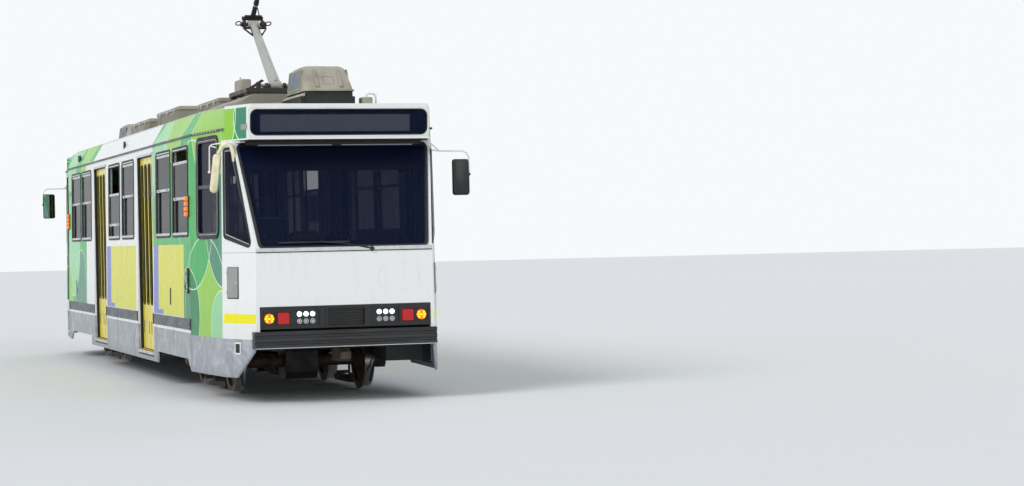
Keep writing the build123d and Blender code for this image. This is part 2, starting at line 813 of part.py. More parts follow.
# Fixed roof gear
gear_low = end_shoulder_z + 10  # roof gear is cut to the roof from here up
hood_x = straight_x + 630
hood_y = 85
hood_length = 1000
hood_width = 570
hood_bottom = 3390
hood_top = 3690
hood_front_lean = 280
hood_back_lean = 150
hood_side_lean = 35
tray_top = 3330
deck_back = 2900
deck_front = straight_x - 90
deck_half = 650
deck_edge = 3370
deck_bevel = 120
roof_box_table = [
    # x0, x1, half width, top: brake resistors, equipment
    (-1500, 300, 520, 3600), (-3600, -2000, 560, 3560), (1400, 2800, 450, 3550),
]


def air_conditioner():
    """hood with a raked front, on a neck and a wider tray cut to the roof"""
    x, y, half, side = hood_x, hood_y, hood_length / 2, hood_width / 2
    base = block(x - half - 20, x + half + 20, y - side - 60, y + side + 60, gear_low, tray_top)
    base += block(x - half + 20, x + half - 20, y - side + 20, y + side - 20, gear_low, hood_bottom)
    base -= roof_form(0)
    low = Plane(origin=(x, y, hood_bottom)) * RectangleRounded(2 * half, 2 * side, 40)
    top_length = 2 * half - hood_front_lean - hood_back_lean
    top_x = x + (hood_back_lean - hood_front_lean) / 2
    high = Plane(origin=(top_x, y, hood_top)) * RectangleRounded(top_length, 2 * (side - hood_side_lean), 60)
    return base + loft([low.face(), high.face()], ruled=True)


def roof_deck():
    """raised deck under the pantograph"""
    y0, y1 = deck_half, deck_half - deck_bevel
    outline = [(-y0, gear_low), (y0, gear_low), (y0, deck_edge), (y1, deck_top), (-y1, deck_top), (-y0, deck_edge)]
    return profile_x(outline, deck_back, deck_front) - roof_form(0)


def roof_boxes():
    return [block(x0, x1, -half, half, gear_low, top) - roof_form(0) for x0, x1, half, top in roof_box_table]


# Underframe and what hangs from it
sill_y = 415
sill_width = 60
sill_low = 700
bolster_half = 260
bolster_reach = 1040
beam_half = 40
cross_beam_bottom = 740
cross_beams = [
    # x, half length
    (880, half_width - 65), (1120, half_width - 65), (bogie_x - 1270, half_width - 65),
    (straight_x - 90, half_width - 105),
]
headstock_back = nose_x - 380
headstock_half = 930
headstock_low = 560
headstock_high = 775
jack_pad_half = 60
jack_pad_y = 700
jack_pad_low = 545


def underframe():
    """centre sills, bolsters, cross-beams and headstocks"""
    top = floor_top - floor_plate
    body = Part()
    for side in (-1, 1):
        a, b = sorted((side * sill_y, side * (sill_y + sill_width)))
        body += block(-headstock_back, headstock_back, a, b, sill_low, top)
    for x in (-bogie_x, bogie_x):
        body += block(x - bolster_half, x + bolster_half, -bolster_reach, bolster_reach, bolster_bottom, top)
        body -= rod((x, 0, bolster_bottom - 1), (x, 0, bolster_bottom + 120), pivot_pin + bearing_fit)
    for place, reach in cross_beams:
        for x in (-place, place):
            body += block(x - beam_half, x + beam_half, -reach, reach, cross_beam_bottom, top)
    for side in (-1, 1):
        a, b = side * headstock_back, side * bumper_back
        body += block(a, b, -headstock_half, headstock_half, headstock_low, headstock_high)
        x, half = (a + b) / 2, jack_pad_half
        for y in (-jack_pad_y, jack_pad_y):
            body += block(x - half, x + half, y - half, y + half, jack_pad_low, headstock_low)
    return body


def bumper():
    """ribbed beam across the nose"""
    x = bumper_front
    ribs = [(x, bumper_bottom)]
    for z in (bumper_bottom + 39, bumper_bottom + 107):
        ribs += [(x, z), (x - 14, z + 6), (x - 14, z + 30), (x, z + 36)]
    ribs += [(x, bumper_top), (bumper_back, bumper_top), (bumper_back, bumper_bottom)]
    body = profile_y(ribs, -bumper_half, bumper_half)
    for side in (-1, 1):
        a, b = sorted((side * bumper_inner_half, side * (bumper_half + 1)))
        body -= block(bumper_back - 1, bumper_wing, a, b, bumper_bottom - 1, bumper_top + 1)
    return body


def lamp_panel():
    """black band with lamp recesses and the centre grille"""
    back = nose_x - wall
    seat, fit = back + lamp_seat, frame_fit
    body = block(back, nose_x - 6, -lamp_band_half, lamp_band_half, lamp_band_bottom, lamp_band_top)
    for side in (-1, 1):
        for y0, y1, z0, z1 in lamp_table:
            a, b = sorted((side * y0, side * y1))
            body -= block(seat, nose_x, a - fit, b + fit, z0 - fit, z1 + fit)
    body -= block(seat, nose_x, -grille_half, grille_half, grille_bottom, grille_top)
    for k in range(grille_bars):
        z = grille_bottom + 16 + k * grille_pitch
        body += block(seat - 1, nose_x - 12, -grille_half, grille_half, z, z + 10)
    return body


lamp_seat = 5
grille_half = 205
grille_bottom = 812
grille_top = 1000
grille_bars = 6
grille_pitch = 30
lamp_table = [
    # y0, y1, z0, z1: amber, red, headlamp
    (767, 915, 836, 969), (620, 755, 836, 969), (280, 600, 815, 1000),
]
eye_x = nose_x - 80
eye_radius = 62
eye_hole = 26
eye_bottom = 445
eye_top = 525
underfloor_table = [
    # x0, x1, half width, bottom
    (-2620, -1420, 555, 300), (-1180, -60, 600, 260), (60, 1180, 600, 280), (1420, 2620, 555, 320),
]


def lamps():
    parts = []
    for side in (-1, 1):
        for y0, y1, z0, z1 in lamp_table:
            a, b = sorted((side * y0, side * y1))
            parts.append(block(nose_x - wall + lamp_seat + frame_fit, nose_x + 2, a, b, z0, z1))
    return parts


def coupler():
    """drawbar with its tow eye below the bumper, hung under the headstock"""
    body = block(eye_x - 350, eye_x - 70, -70, 70, eye_bottom - 25, headstock_low)
    body += rod((eye_x, 0, eye_bottom), (eye_x, 0, eye_top), eye_radius)
    body += block(eye_x - 100, eye_x, -40, 40, eye_bottom + 5, eye_top - 5)
    body -= rod((eye_x, 0, eye_bottom - 5), (eye_x, 0, eye_top + 5), eye_hole)
    return body


def underfloor():
    return [block(x0, x1, -half, half, z0, sill_low) for x0, x1, half, z0 in underfloor_table]


# Interior
seat_rows = [
    # x from the middle of the side's layout, facing
    (outer_pair + 685, -1), (outer_pair - 115, 1), (outer_pair - 895, -1),
    (1000, -1), (260, 1), (-500, -1),
    (795 - outer_pair, 1), (95 - outer_pair, -1), (-705 - outer_pair, 1),
]
aisle_y = 340
seat_wall_y = half_width - 100
seat_height = 350
pad_margin = 10
seat_shell = [
    # x and height of the shell's section
    (-230, seat_height), (-210, 430), (-215, 905), (-240, 905),
    (-262, 400), (-230, 330), (210, 330), (210, seat_height),
]
pad_sections = [
    [(-180, seat_height + frame_fit), (215, seat_height + frame_fit), (215, 430), (-180, 430)],
    [(-209.8, 440), (-214.5, 890), (-165, 890), (-150, 440)],
]
partition_x = straight_x + 30
partition_y = 270
partition_plate = 30
partition_top = 2820
partition_window_low = 1700
partition_window_high = 2700
driver_seat_x = corner_x - 650
driver_seat_y = -480
rail_z = 2720
pole_y = 318
pole_radius = 16
pole_places = [0, 1100, 2700, outer_pair - 495, straight_x - 470]
rail_half = straight_x - 370
mirror_arm_z = 2786


def seat_frame(x, facing):
    """pedestal and the L-shaped shell of a double seat"""
    z = floor_top
    body = profile_y([(facing * a, z + b) for a, b in seat_shell], aisle_y, seat_wall_y)
    body += block(-60, 60, aisle_y + 200, seat_wall_y - 200, z, z + seat_height - 15)
    return Pos(x, 0, 0) * body


def seat_pads(x, facing):
    y0, y1 = aisle_y + pad_margin, seat_wall_y - pad_margin
    middle = (y0 + y1) / 2
    out = []
    for a, b in ((y0, middle - pad_margin / 2), (middle + pad_margin / 2, y1)):
        for section in pad_sections:
            out.append(profile_y([(facing * u, floor_top + w) for u, w in section], a, b))
    return [Pos(x, 0, 0) * s for s in out]


def cab_partition():
    """screens behind and beside the driver, each with its window, meeting at a corner joint"""
    x, y, t = partition_x, partition_y, partition_plate
    wall_y = 105 - half_width
    front = corner_x - 40
    low, high = partition_window_low, partition_window_high
    cross = block(x, x + t, wall_y, y + t, floor_top, partition_top)
    cross -= block(x - 1, x + t + 1, wall_y + 100, y - 40, low, high)
    along = block(x + t + frame_fit, front, y, y + t, floor_top, partition_top)
    along -= block(x + 80, front - 80, y - 1, y + t + 1, low, high)
    return [cross, along]


def driver_desk():
    z = floor_top
    back, front = nose_x - 580, nose_x - 80
    knee = back + 180
    points = [(back, z), (knee, z), (knee, z + 640), (front, z + 680), (front, z + 730), (back + 40, z + 700),
              (back - 20, z + 660)]
    return profile_y(points, -900, partition_y - 30)


def driver_seat():
    x, y, z = driver_seat_x, driver_seat_y, floor_top
    at = Pos(x, 0, z)
    base = rod((x, y, z), (x, y, z + 430), 70)
    base += block(x - 240, x + 240, y - 230, y + 230, z + 430, z + 455)
    base += at * profile_y([(-240, 455), (-200, 455), (-290, 1150), (-330, 1150)], y - 220, y + 220)
    pad = at * block(-190, 230, y - 220, y + 220, 455 + frame_fit, 545)
    back_pad = at * profile_y([(-212.6, 555), (-150, 555), (-225, 1140), (-288.4, 1140)], y - 210, y + 210)
    return [base], [pad, back_pad]


def grab_poles():
    parts = []
    for side in (-1, 1):
        y = side * pole_y
        rail = rod((-rail_half, y, rail_z), (rail_half, y, rail_z), pole_radius)
        for x in sorted({sign * place for place in pole_places for sign in (-1, 1)}):
            rail += rod((x, y, floor_top), (x, y, rail_z), pole_radius)
        parts.append(rail)
    return parts


def mirrors():
    """slim oval mirror on the driver's side, square one on an arm on the door side"""
    x, y, z = corner_x + 160, 35 - half_width, mirror_arm_z
    oval = Plane(origin=(x + 25, y, 2475), x_dir=(0, 1, 0), z_dir=(1, 0, 0)) * RectangleRounded(110, 440, 54)
    body = extrude(oval, amount=-55)
    body += rod((x, y + 10, z - 96), (x, y + 10, z + 10), 11)
    body += rod((x, y, z), (x, y + 200, z), 10)
    x, y = corner_x + 285, half_width + 105
    square = Plane(origin=(x + 25, y, 2400), x_dir=(0, 1, 0), z_dir=(1, 0, 0)) * RectangleRounded(190, 400, 30)
    arm = extrude(square, amount=-50)
    arm += rod((x, y, z - 196), (x, y, z + 14), 10)
    arm += rod((x, y + 8, z + 4), (x - 155, y - 380, z + 4), 10)
    clear = body_block(-frame_fit, 2700, 2900)
    return [body - clear, arm - clear]


# Write every piece
left_wall = side_wall()
write("side_wall_left", left_wall)
write("side_wall_right", turned(left_wall))
shell = cab_shell()
write("cab_shell_front", shell)
write("cab_shell_rear", turned(shell))
write("skirts", *both([side_skirt(), cab_skirt()]))
write("roof", roof_form(0) - roof_form(roof_skin, 1))
write("destination_boxes", *both([header_box()]))
screen = screen_outline(0, -screen_glass, 0)
corner_pane = corner_outline(0, -screen_glass, 0)
ring_body, driver_glass, driver_rail = [flipped(taper_at * s) for s in driver_window()]
write("cab_glass", *both([screen, corner_pane, flipped(corner_pane), driver_glass, header_glass()]))
rings, panes = [], []
for u, drop in left_windows:
    frame_ring, glass, rails = window_parts(u, drop)
    rings += [side_at * s for s in [frame_ring, *rails]]
    panes += [side_at * s for s in glass]
write("window_frames", *both(rings + [ring_body, driver_rail]))
write("side_windows", *both(panes))

band_h = band_bottom - band_top
band = side_at * block(-straight_x, straight_x, 0.1, band_proud, band_h, 0)
gutter_low, gutter_high = gutter_z - band_top - 24, gutter_z - band_top - 2
gutter_proud = 16
gutter = side_at * block(-straight_x, straight_x, 0.1, gutter_proud, gutter_low, gutter_high)
taper_gutter = taper_at * block(1, taper_length + 40, 0.1, gutter_proud, gutter_low, gutter_high)
for d in left_doorways[:2]:
    band -= portal_cut(d)
write("side_mouldings", *both([band, gutter, taper_gutter, flipped(taper_gutter)]))

write("door_portals", *both([portal(d) for d in left_doorways]))
write("step_wells", *both([step_well(d) for d in left_doorways]))
floor_rings = [ring(leaning(z) + wall + frame_fit, wall + frame_fit, z) for z in (floor_top - floor_plate, floor_top)]
floor = Solid.make_loft(floor_rings, ruled=True)
for d in left_doorways:
    cut = well_cut(d)
    floor = floor - cut - turned(cut)
write("floor", floor)
write("underframe", underframe())
write("underfloor_boxes", *underfloor())
write("bumpers", *both([bumper()]))
write("lamp_panels", *both([lamp_panel()]))
write("lamps", *both(lamps()))
write("couplers", *both([coupler()]))
write("mirrors", *both(mirrors()))
write("air_conditioners", *both([air_conditioner()]))
write("roof_equipment", roof_deck(), *roof_boxes())
write("pantograph_base", panto_base())
write("pantograph_lower_arm", lower_arm())
write("pantograph_upper_arm", upper_arm())
write("pantograph_head", panto_head())

frames, pads = [], []
for x, facing in seat_rows:
    frames.append(seat_frame(x + side_shift, facing))
    pads += seat_pads(x + side_shift, facing)
cab_seat, cab_pads = driver_seat()
write("seat_frames", *both(frames + cab_seat))
write("seat_cushions", *both(pads + cab_pads))
write("cab_partitions", *both(cab_partition()))
write("cab_interiors", *both([driver_desk()]))
write("grab_poles", *grab_poles())

frame_body, drive_body, axle_body = bogie_frame(), drive_unit(), wheelset()
for end, sign in (("front", 1), ("rear", -1)):
    place = Pos(bogie_x, 0, 0) if sign > 0 else Rot(0, 0, 180) * Pos(bogie_x, 0, 0)
    write(f"bogie_frame_{end}", place * frame_body)
    write(f"drive_unit_{end}", place * drive_body)
    for axle, x in (("outer", wheelbase / 2), ("inner", -wheelbase / 2)):
        write(f"wheelset_{end}_{axle}", place * Pos(x, 0, axle_z) * axle_body)

# Door leaves: the right side's are the left side's turned round, named after the place where they end up
place_names = {
    # doorway: name on the left side, name on the right side
    "fore": ("front", "rear"),
    "back": ("rear", "front"),
    "cab": ("cab", "cab"),
}
jamb_names = {1: ("aft", "fore"), -1: ("fore", "aft")}
for index, side in enumerate(("left", "right")):
    for d in left_doorways:
        for u, way in pivot_points(d):
            stem = f"door_{side}_{place_names[d.name][index]}_{jamb_names[way][index]}"
            leaves = {
                "jamb": (jamb_leaf(d.leaf), d.at * Pos(u, jamb_axis_y, 0)),
                "fold": (inner_leaf(d.leaf), d.at * Pos(u + way * (d.leaf + fold_gap / 2), fold_axis_y, 0)),
            }
            for kind, (shapes, spot) in leaves.items():
                placed = place_leaf(d, u, way, shapes)
                if index:
                    placed = [turned(s) for s in placed]
                    spot = Rot(0, 0, 180) * spot
                write(f"{stem}_{kind}", *placed)
                print("axis", f"{stem}_{kind}", round(spot.position.X, 3), round(spot.position.Y, 3), way)
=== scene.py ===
import bmesh
import bpy
import math
from mathutils import Matrix, Vector


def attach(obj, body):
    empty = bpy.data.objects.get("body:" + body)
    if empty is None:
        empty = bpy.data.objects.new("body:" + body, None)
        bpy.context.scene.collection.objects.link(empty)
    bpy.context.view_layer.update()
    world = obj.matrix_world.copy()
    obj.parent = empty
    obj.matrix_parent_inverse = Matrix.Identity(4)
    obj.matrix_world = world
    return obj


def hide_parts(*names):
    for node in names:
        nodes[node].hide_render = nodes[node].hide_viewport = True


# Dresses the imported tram. Metres, +X to the lit cab, +Y to the tram's left; heights in the tables are above the rail.
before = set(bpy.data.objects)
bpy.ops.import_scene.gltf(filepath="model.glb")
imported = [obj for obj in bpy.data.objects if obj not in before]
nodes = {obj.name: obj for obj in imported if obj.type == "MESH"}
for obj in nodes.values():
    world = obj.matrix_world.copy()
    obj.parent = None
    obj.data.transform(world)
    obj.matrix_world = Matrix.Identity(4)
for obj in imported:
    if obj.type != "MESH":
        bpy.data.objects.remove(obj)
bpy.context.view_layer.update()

body = {
    "rail": 0.025,  # rail's top above the floor
    "straight": 5.47, "corner": 6.8, "nose": 7.48, "noseHalf": 0.982, "panelY": 1.32825, "cornerInset": 0.122,
    "bandTop": 0.864, "lean": math.atan2(0.029, 2.106), "rake": math.radians(21.7), "sill": 1.615,
}
rail, base = body["rail"], body["bandTop"]
cornerY = body["panelY"] - body["cornerInset"]
taperTurn = math.atan2(body["cornerInset"], body["corner"] - body["straight"])
facetTurn = math.atan2(cornerY - body["noseHalf"], body["nose"] - body["corner"])
tau, quarter = 2 * math.pi, math.pi / 2


def turnX(a): return Matrix.Rotation(a, 4, "X")
def turnY(a): return Matrix.Rotation(a, 4, "Y")
def turnZ(a): return Matrix.Rotation(a, 4, "Z")
def moved(x, y, z): return Matrix.Translation((x, y, z))
def onWall(x, y, turn): return moved(x, y, base + rail) @ turnZ(-turn) @ turnX(body["lean"])
def ahead(x, y, z, lean=0.0): return moved(x, y, z + rail) @ turnZ(-quarter) @ turnX(lean)  # y forward, x to the right
def astern(x, y, z, lean=0.0): return moved(x, y, z + rail) @ turnZ(quarter) @ turnX(lean)  # y backward, x to the left
def standing(x, y, z): return moved(x, y, z + rail) @ turnX(quarter)  # y upward


# Places on the walls: x along the wall, y out of it, z up; heights from the rub band's top, or from the rail on the front
here = Matrix.Identity(4)
flip = Matrix.Diagonal((1, -1, 1, 1))
otherEnd = turnZ(math.pi)
facing = {1: here, -1: otherEnd}  # y outwards on the left and on the right
onRail = moved(0, 0, rail)
laidFlat = Matrix(((1, 0, 0, 0), (0, 0, 1, 0), (0, 1, 0, 0), (0, 0, 0, 1)))  # outline in x and y, thickness upwards
plan = onRail @ laidFlat
leftWall = onWall(0, body["panelY"], 0)
rightWall = otherEnd @ leftWall
leftTaper = onWall(body["straight"], body["panelY"], taperTurn)
leftFacet = onWall(body["corner"], cornerY, facetTurn)
rightTaper, rightFacet = flip @ leftTaper, flip @ leftFacet
screen = ahead(body["nose"], 0, body["sill"], body["rake"])
front = ahead(body["nose"], 0, 0)


def roundOff(points, radius, steps=5):
    # outline with its corners rounded
    out = []
    count = len(points)
    for k in range(count):
        p, a, b = (Vector(points[j % count]) for j in (k, k - 1, k + 1))
        ua, ub = (a - p).normalized(), (b - p).normalized()
        half = ua.angle(ub) / 2
        reach = min(radius / math.tan(half), (a - p).length * 0.49, (b - p).length * 0.49)
        centre = p + (ua + ub).normalized() * (reach / math.cos(half))
        s, e = p + ua * reach - centre, p + ub * reach - centre
        sweep = s.angle_signed(e)
        for i in range(steps + 1):
            c, n = math.cos(-sweep * i / steps), math.sin(-sweep * i / steps)
            out.append((centre.x + s.x * c - s.y * n, centre.y + s.x * n + s.y * c))
    return out


def rect(x0, x1, z0, z1, radius=0.0, steps=5):
    corners = [(x0, z0), (x1, z0), (x1, z1), (x0, z1)]
    return roundOff(corners, radius, steps) if radius else corners


def grown(box, by, radius, steps=5):
    # rectangle x0, x1, z0, z1 grown evenly, and the radius with it
    x0, x1, z0, z1 = box
    return rect(x0 - by, x1 + by, z0 - by, z1 + by, radius + by, steps)


def plate(wide, high, radius=0.0, steps=5):
    # rectangle about the origin, from its half width and half height
    return rect(-wide, wide, -high, high, radius, steps)


def around(count):
    return [tau * k / count for k in range(count)]


def circle(x, z, r, steps=20):
    return [(x + r * math.cos(t), z + r * math.sin(t)) for t in around(steps)]


class Shape:
    # one mesh in the making; every call adds a solid at a place, in the finish that is current
    def __init__(self):
        self.mesh, self.finishes, self.index = bmesh.new(), [], 0

    def use(self, finish):
        if finish not in self.finishes:
            self.finishes.append(finish)
        self.index = self.finishes.index(finish)
        return self

    def add(self, place, points, faces):
        made = [self.mesh.verts.new(place @ Vector(p)) for p in points]
        for f in faces:
            self.mesh.faces.new([made[k] for k in f]).material_index = self.index
        return self

    def block(self, place, x0, x1, y0, y1, z0, z1):
        return self.stack(place, [(rect(x0, x1, z0, z1), y0), (rect(x0, x1, z0, z1), y1)])

    def bars(self, place, x0, x1, y0, y1, z, high, pitch, count):
        # blocks one above the other
        for k in range(count):
            self.block(place, x0, x1, y0, y1, z + k * pitch, z + k * pitch + high)
        return self

    def louvres(self, place, x0, x1, y0, y1, z, rise, pitch=0.0, count=1):
        # slats one above the other, their outer edge at y1 and 4 mm lower
        for h in (z + k * pitch for k in range(count)):
            self.add(place, [(x0, y0, h), (x1, y0, h), (x1, y1, h - 0.004), (x0, y1, h - 0.004), (x0, y0, h + rise),
                             (x1, y0, h + rise)], [(0, 1, 2, 3), (3, 2, 5, 4), (0, 4, 5, 1), (0, 3, 4), (1, 5, 2)])
        return self

    def slab(self, place, outline, y0, y1, shrink=0.0):
        # outline in x and z, as thick as y0 to y1; shrink pulls the outer face in
        n = len(outline)
        cx, cz = sum(p[0] for p in outline) / n, sum(p[1] for p in outline) / n
        outer = []
        for x, z in outline:
            k = 1 - shrink / max(1e-6, math.hypot(x - cx, z - cz))
            outer.append((cx + (x - cx) * k, cz + (z - cz) * k))
        return self.stack(place, [(outline, y0), (outer, y1)])

    def stack(self, place, rings):
        # skin through outlines of as many points, each at its own y
        n = len(rings[0][0])
        points = [(x, y, z) for outline, y in rings for x, z in outline]
        faces = [list(range(n)), list(range(len(points) - 1, len(points) - n - 1, -1))]
        for a in range(0, len(points) - n, n):
            faces += [(a + k, a + (k + 1) % n, a + n + (k + 1) % n, a + n + k) for k in range(n)]
        return self.add(place, points, faces)

    def lid(self, box, radius, z0, z1, inset, z2):
        # upright box in plan with a chamfered top
        outline = grown(box, 0, radius, 3)
        return self.stack(plan, [(outline, z0), (outline, z1), (grown(box, -inset, radius + inset, 3), z2)])

    def hoop(self, place, outer, inner, y0, y1, crown=0.0):
        # frame between two outlines of as many points; crown lifts its inner edge
        n = len(outer)
        levels = ((outer, y0), (inner, y0), (outer, y1), (inner, y1 + crown))
        faces = []
        for k in range(n):
            j = (k + 1) % n
            faces += [(k, n + k, n + j, j), (2 * n + k, 2 * n + j, 3 * n + j, 3 * n + k),
                      (k, j, 2 * n + j, 2 * n + k), (n + k, 3 * n + k, 3 * n + j, n + j)]
        return self.add(place, [(x, y, z) for outline, y in levels for x, z in outline], faces)

    def pipe(self, place, path, radius, sides=10, closed=False):
        # round bar along a path; its corners are mitred
        path = [Vector(p) for p in path]
        count = len(path)
        radii = radius if isinstance(radius, (list, tuple)) else [radius] * count
        points, up, faces = [], None, []
        for k, p in enumerate(path):
            a = path[k - 1] if k or closed else p - (path[1] - p)
            b = path[(k + 1) % count] if k < count - 1 or closed else p + (p - path[k - 1])
            way = ((p - a).normalized() + (b - p).normalized()).normalized()
            up = up or way.orthogonal().normalized()
            side = way.cross(up).normalized()
            up = side.cross(way).normalized()
            points += [p + (up * math.cos(t) + side * math.sin(t)) * radii[k] for t in around(sides)]
        for k in range(count if closed else count - 1):
            a, b = k * sides, ((k + 1) % count) * sides
            faces += [(a + i, a + (i + 1) % sides, b + (i + 1) % sides, b + i) for i in range(sides)]
        if not closed:
            faces += [list(range(sides - 1, -1, -1)), list(range((count - 1) * sides, count * sides))]
        return self.add(place, points, faces)

    def coil(self, place, radius, wire, turns, length, perTurn=12):
        # spring about the place's z axis
        spots = [(tau * k / perTurn, length * k / (turns * perTurn)) for k in range(turns * perTurn + 1)]
        return self.pipe(place, [(radius * math.cos(t), radius * math.sin(t), z) for t, z in spots], wire, 6)

    def lathe(self, place, profile, steps=24):
        # turned about the place's y axis; the profile holds radius and y
        n = len(profile)
        points = [(r * math.cos(t), y, r * math.sin(t)) for t in around(steps) for r, y in profile]
        faces = [[k * n for k in range(steps)], [k * n + n - 1 for k in range(steps - 1, -1, -1)]]
        for k in range(steps):
            a, b = k * n, ((k + 1) % steps) * n
            faces += [(a + i, a + i + 1, b + i + 1, b + i) for i in range(n - 1)]
        return self.add(place, points, faces)

    def drum(self, place, r, y0, y1, steps=16):
        return self.lathe(place, [(r, y0), (r, y1)], steps)

    def bolt(self, place, x, z, size=0.009, height=0.004):
        return self.lathe(place @ moved(x, 0, z), [(size, 0), (size, height * 0.6), (size * 0.7, height)], 8)

    def alsoTurned(self):
        # the same at the tram's other end
        made = bmesh.ops.duplicate(self.mesh, geom=self.mesh.verts[:] + self.mesh.edges[:] + self.mesh.faces[:])
        verts = [g for g in made["geom"] if isinstance(g, bmesh.types.BMVert)]
        bmesh.ops.transform(self.mesh, matrix=otherEnd, verts=verts)
        return self

    def linked(self, name):
        # object of this mesh, smooth
        data = bpy.data.meshes.new(name)
        self.mesh.to_mesh(data)
        self.mesh.free()
        for finish in self.finishes:
            data.materials.append(finish)
        data.polygons.foreach_set("use_smooth", [True] * len(data.polygons))
        obj = bpy.data.objects.new(name, data)
        bpy.context.scene.collection.objects.link(obj)
        return obj

    def piece(self, name, rides="car", slot=None, bevel=0.0, stands=()):
        bmesh.ops.recalc_face_normals(self.mesh, faces=self.mesh.faces[:])
        obj = self.linked(name)
        obj.data.set_sharp_from_angle(angle=math.radians(35))
        if bevel:
            mod = obj.modifiers.new("edges", "BEVEL")
            mod.width, mod.segments, mod.limit_method, mod.angle_limit = bevel, 2, "ANGLE", math.radians(38)
            mod.harden_normals = True
        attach(obj, rides)
        if stands:
            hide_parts(*stands)
        return obj


def tone(r, g, b):
    # screen colour, 0 to 1, as linear light
    return tuple(c / 12.92 if c <= 0.04045 else ((c + 0.055) / 1.055) ** 2.4 for c in (r, g, b)) + (1.0,)


class Finish:
    # a material and short ways to add nodes to it; colours are written as a screen shows them
    def __init__(self, name, **sockets):
        self.material = bpy.data.materials.new(name)
        self.material.use_nodes = True
        self.tree = self.material.node_tree
        self.shader = self.tree.nodes["Principled BSDF"]
        self.place = None
        for key, value in sockets.items():
            self.feed(self.shader.inputs[key.replace("_", " ")], value)

    def feed(self, socket, value):
        if isinstance(value, bpy.types.NodeSocket):
            self.tree.links.new(value, socket)
        else:
            socket.default_value = tone(*value) if socket.type == "RGBA" else value

    def node(self, kind, *values, **settings):
        made = self.tree.nodes.new("ShaderNode" + kind)
        for key, value in settings.items():
            setattr(made, key, value)
        for k, value in enumerate(values):
            if value is not None:
                self.feed(made.inputs[k], value)
        return made

    def spot(self):
        if self.place is None:
            self.place = self.node("TexCoord").outputs["Object"]
        return self.place

    def axes(self):
        # x, y and height above the rail
        x, y, z = self.node("SeparateXYZ", self.spot()).outputs
        return x, y, self.math("SUBTRACT", z, rail)

    def math(self, operation, *values):
        return self.node("Math", *values, operation=operation).outputs[0]

    def fold(self, operation, masks):
        out, *rest = masks
        for m in rest:
            out = self.math(operation, out, m)
        return out

    def both(self, *masks):
        return self.fold("MULTIPLY", masks)

    def within(self, value, low, high):
        return self.both(self.math("GREATER_THAN", value, low), self.math("LESS_THAN", value, high))

    def near(self, value, middle, reach):
        return self.math("LESS_THAN", self.math("ABSOLUTE", self.math("SUBTRACT", value, middle)), reach)

    def beyond(self, value, limit):
        return self.math("GREATER_THAN", self.math("ABSOLUTE", value), limit)

    def alongSide(self, x, y):
        # x as on the photographed side, and the same on the other
        return self.math("MULTIPLY", self.math("MULTIPLY", x, self.math("SIGN", y)), -1.0)

    def mix(self, factor, a, b):
        return self.node("Mix", factor, None, None, None, None, None, a, b, data_type="RGBA").outputs[2]

    def noise(self, scale, detail=4.0, stretch=(1, 1, 1), twist=0.0):
        made = self.node("TexNoise", self.node("Mapping", self.spot(), None, None, stretch).outputs[0])
        for key, value in (("Scale", scale), ("Detail", detail), ("Distortion", twist)):
            made.inputs[key].default_value = value
        return made.outputs["Fac"]

    def spread(self, value, low, high, to0=0.0, to1=1.0):
        return self.node("MapRange", value, low, high, to0, to1).outputs[0]

    def painted(self, colour, rough=None, height=None, strength=0.2, distance=0.002):
        # colour, roughness and relief on the shader
        self.feed(self.shader.inputs["Base Color"], colour)
        if rough is not None:
            self.feed(self.shader.inputs["Roughness"], rough)
        if height is not None:
            bump = self.node("Bump")
            for key, value in (("Strength", strength), ("Distance", distance), ("Height", height)):
                self.feed(bump.inputs[key], value)
            self.feed(self.shader.inputs["Normal"], bump.outputs["Normal"])
        return self.material


def worn(name, plain, dirt, amount, scale, rough, bump, stretch=(1, 1, 1), **sockets):
    # plain coat with uneven colour, gloss and grain
    f = Finish(name, **sockets)
    patches = f.noise(scale, 6.0, stretch)
    colour = f.mix(f.spread(patches, 0.42, 0.72, 0.0, amount), plain, dirt)
    return f.painted(colour, f.spread(patches, 0.3, 0.7, *rough), f.noise(60.0, 3.0), bump, 0.0015)


def twoTone(name, where, first, second, wear, patch, rough, **sockets):
    # two worn colours on one node; where gives the mask of the second from x, y and z
    f = Finish(name, **sockets)
    mask = where(f, *f.axes())
    patches = f.noise(*wear)
    a, b = (f.mix(f.spread(patches, *patch), *pair) for pair in (first, second))
    return f.painted(f.mix(mask, a, b), f.spread(patches, 0.3, 0.7, *rough))


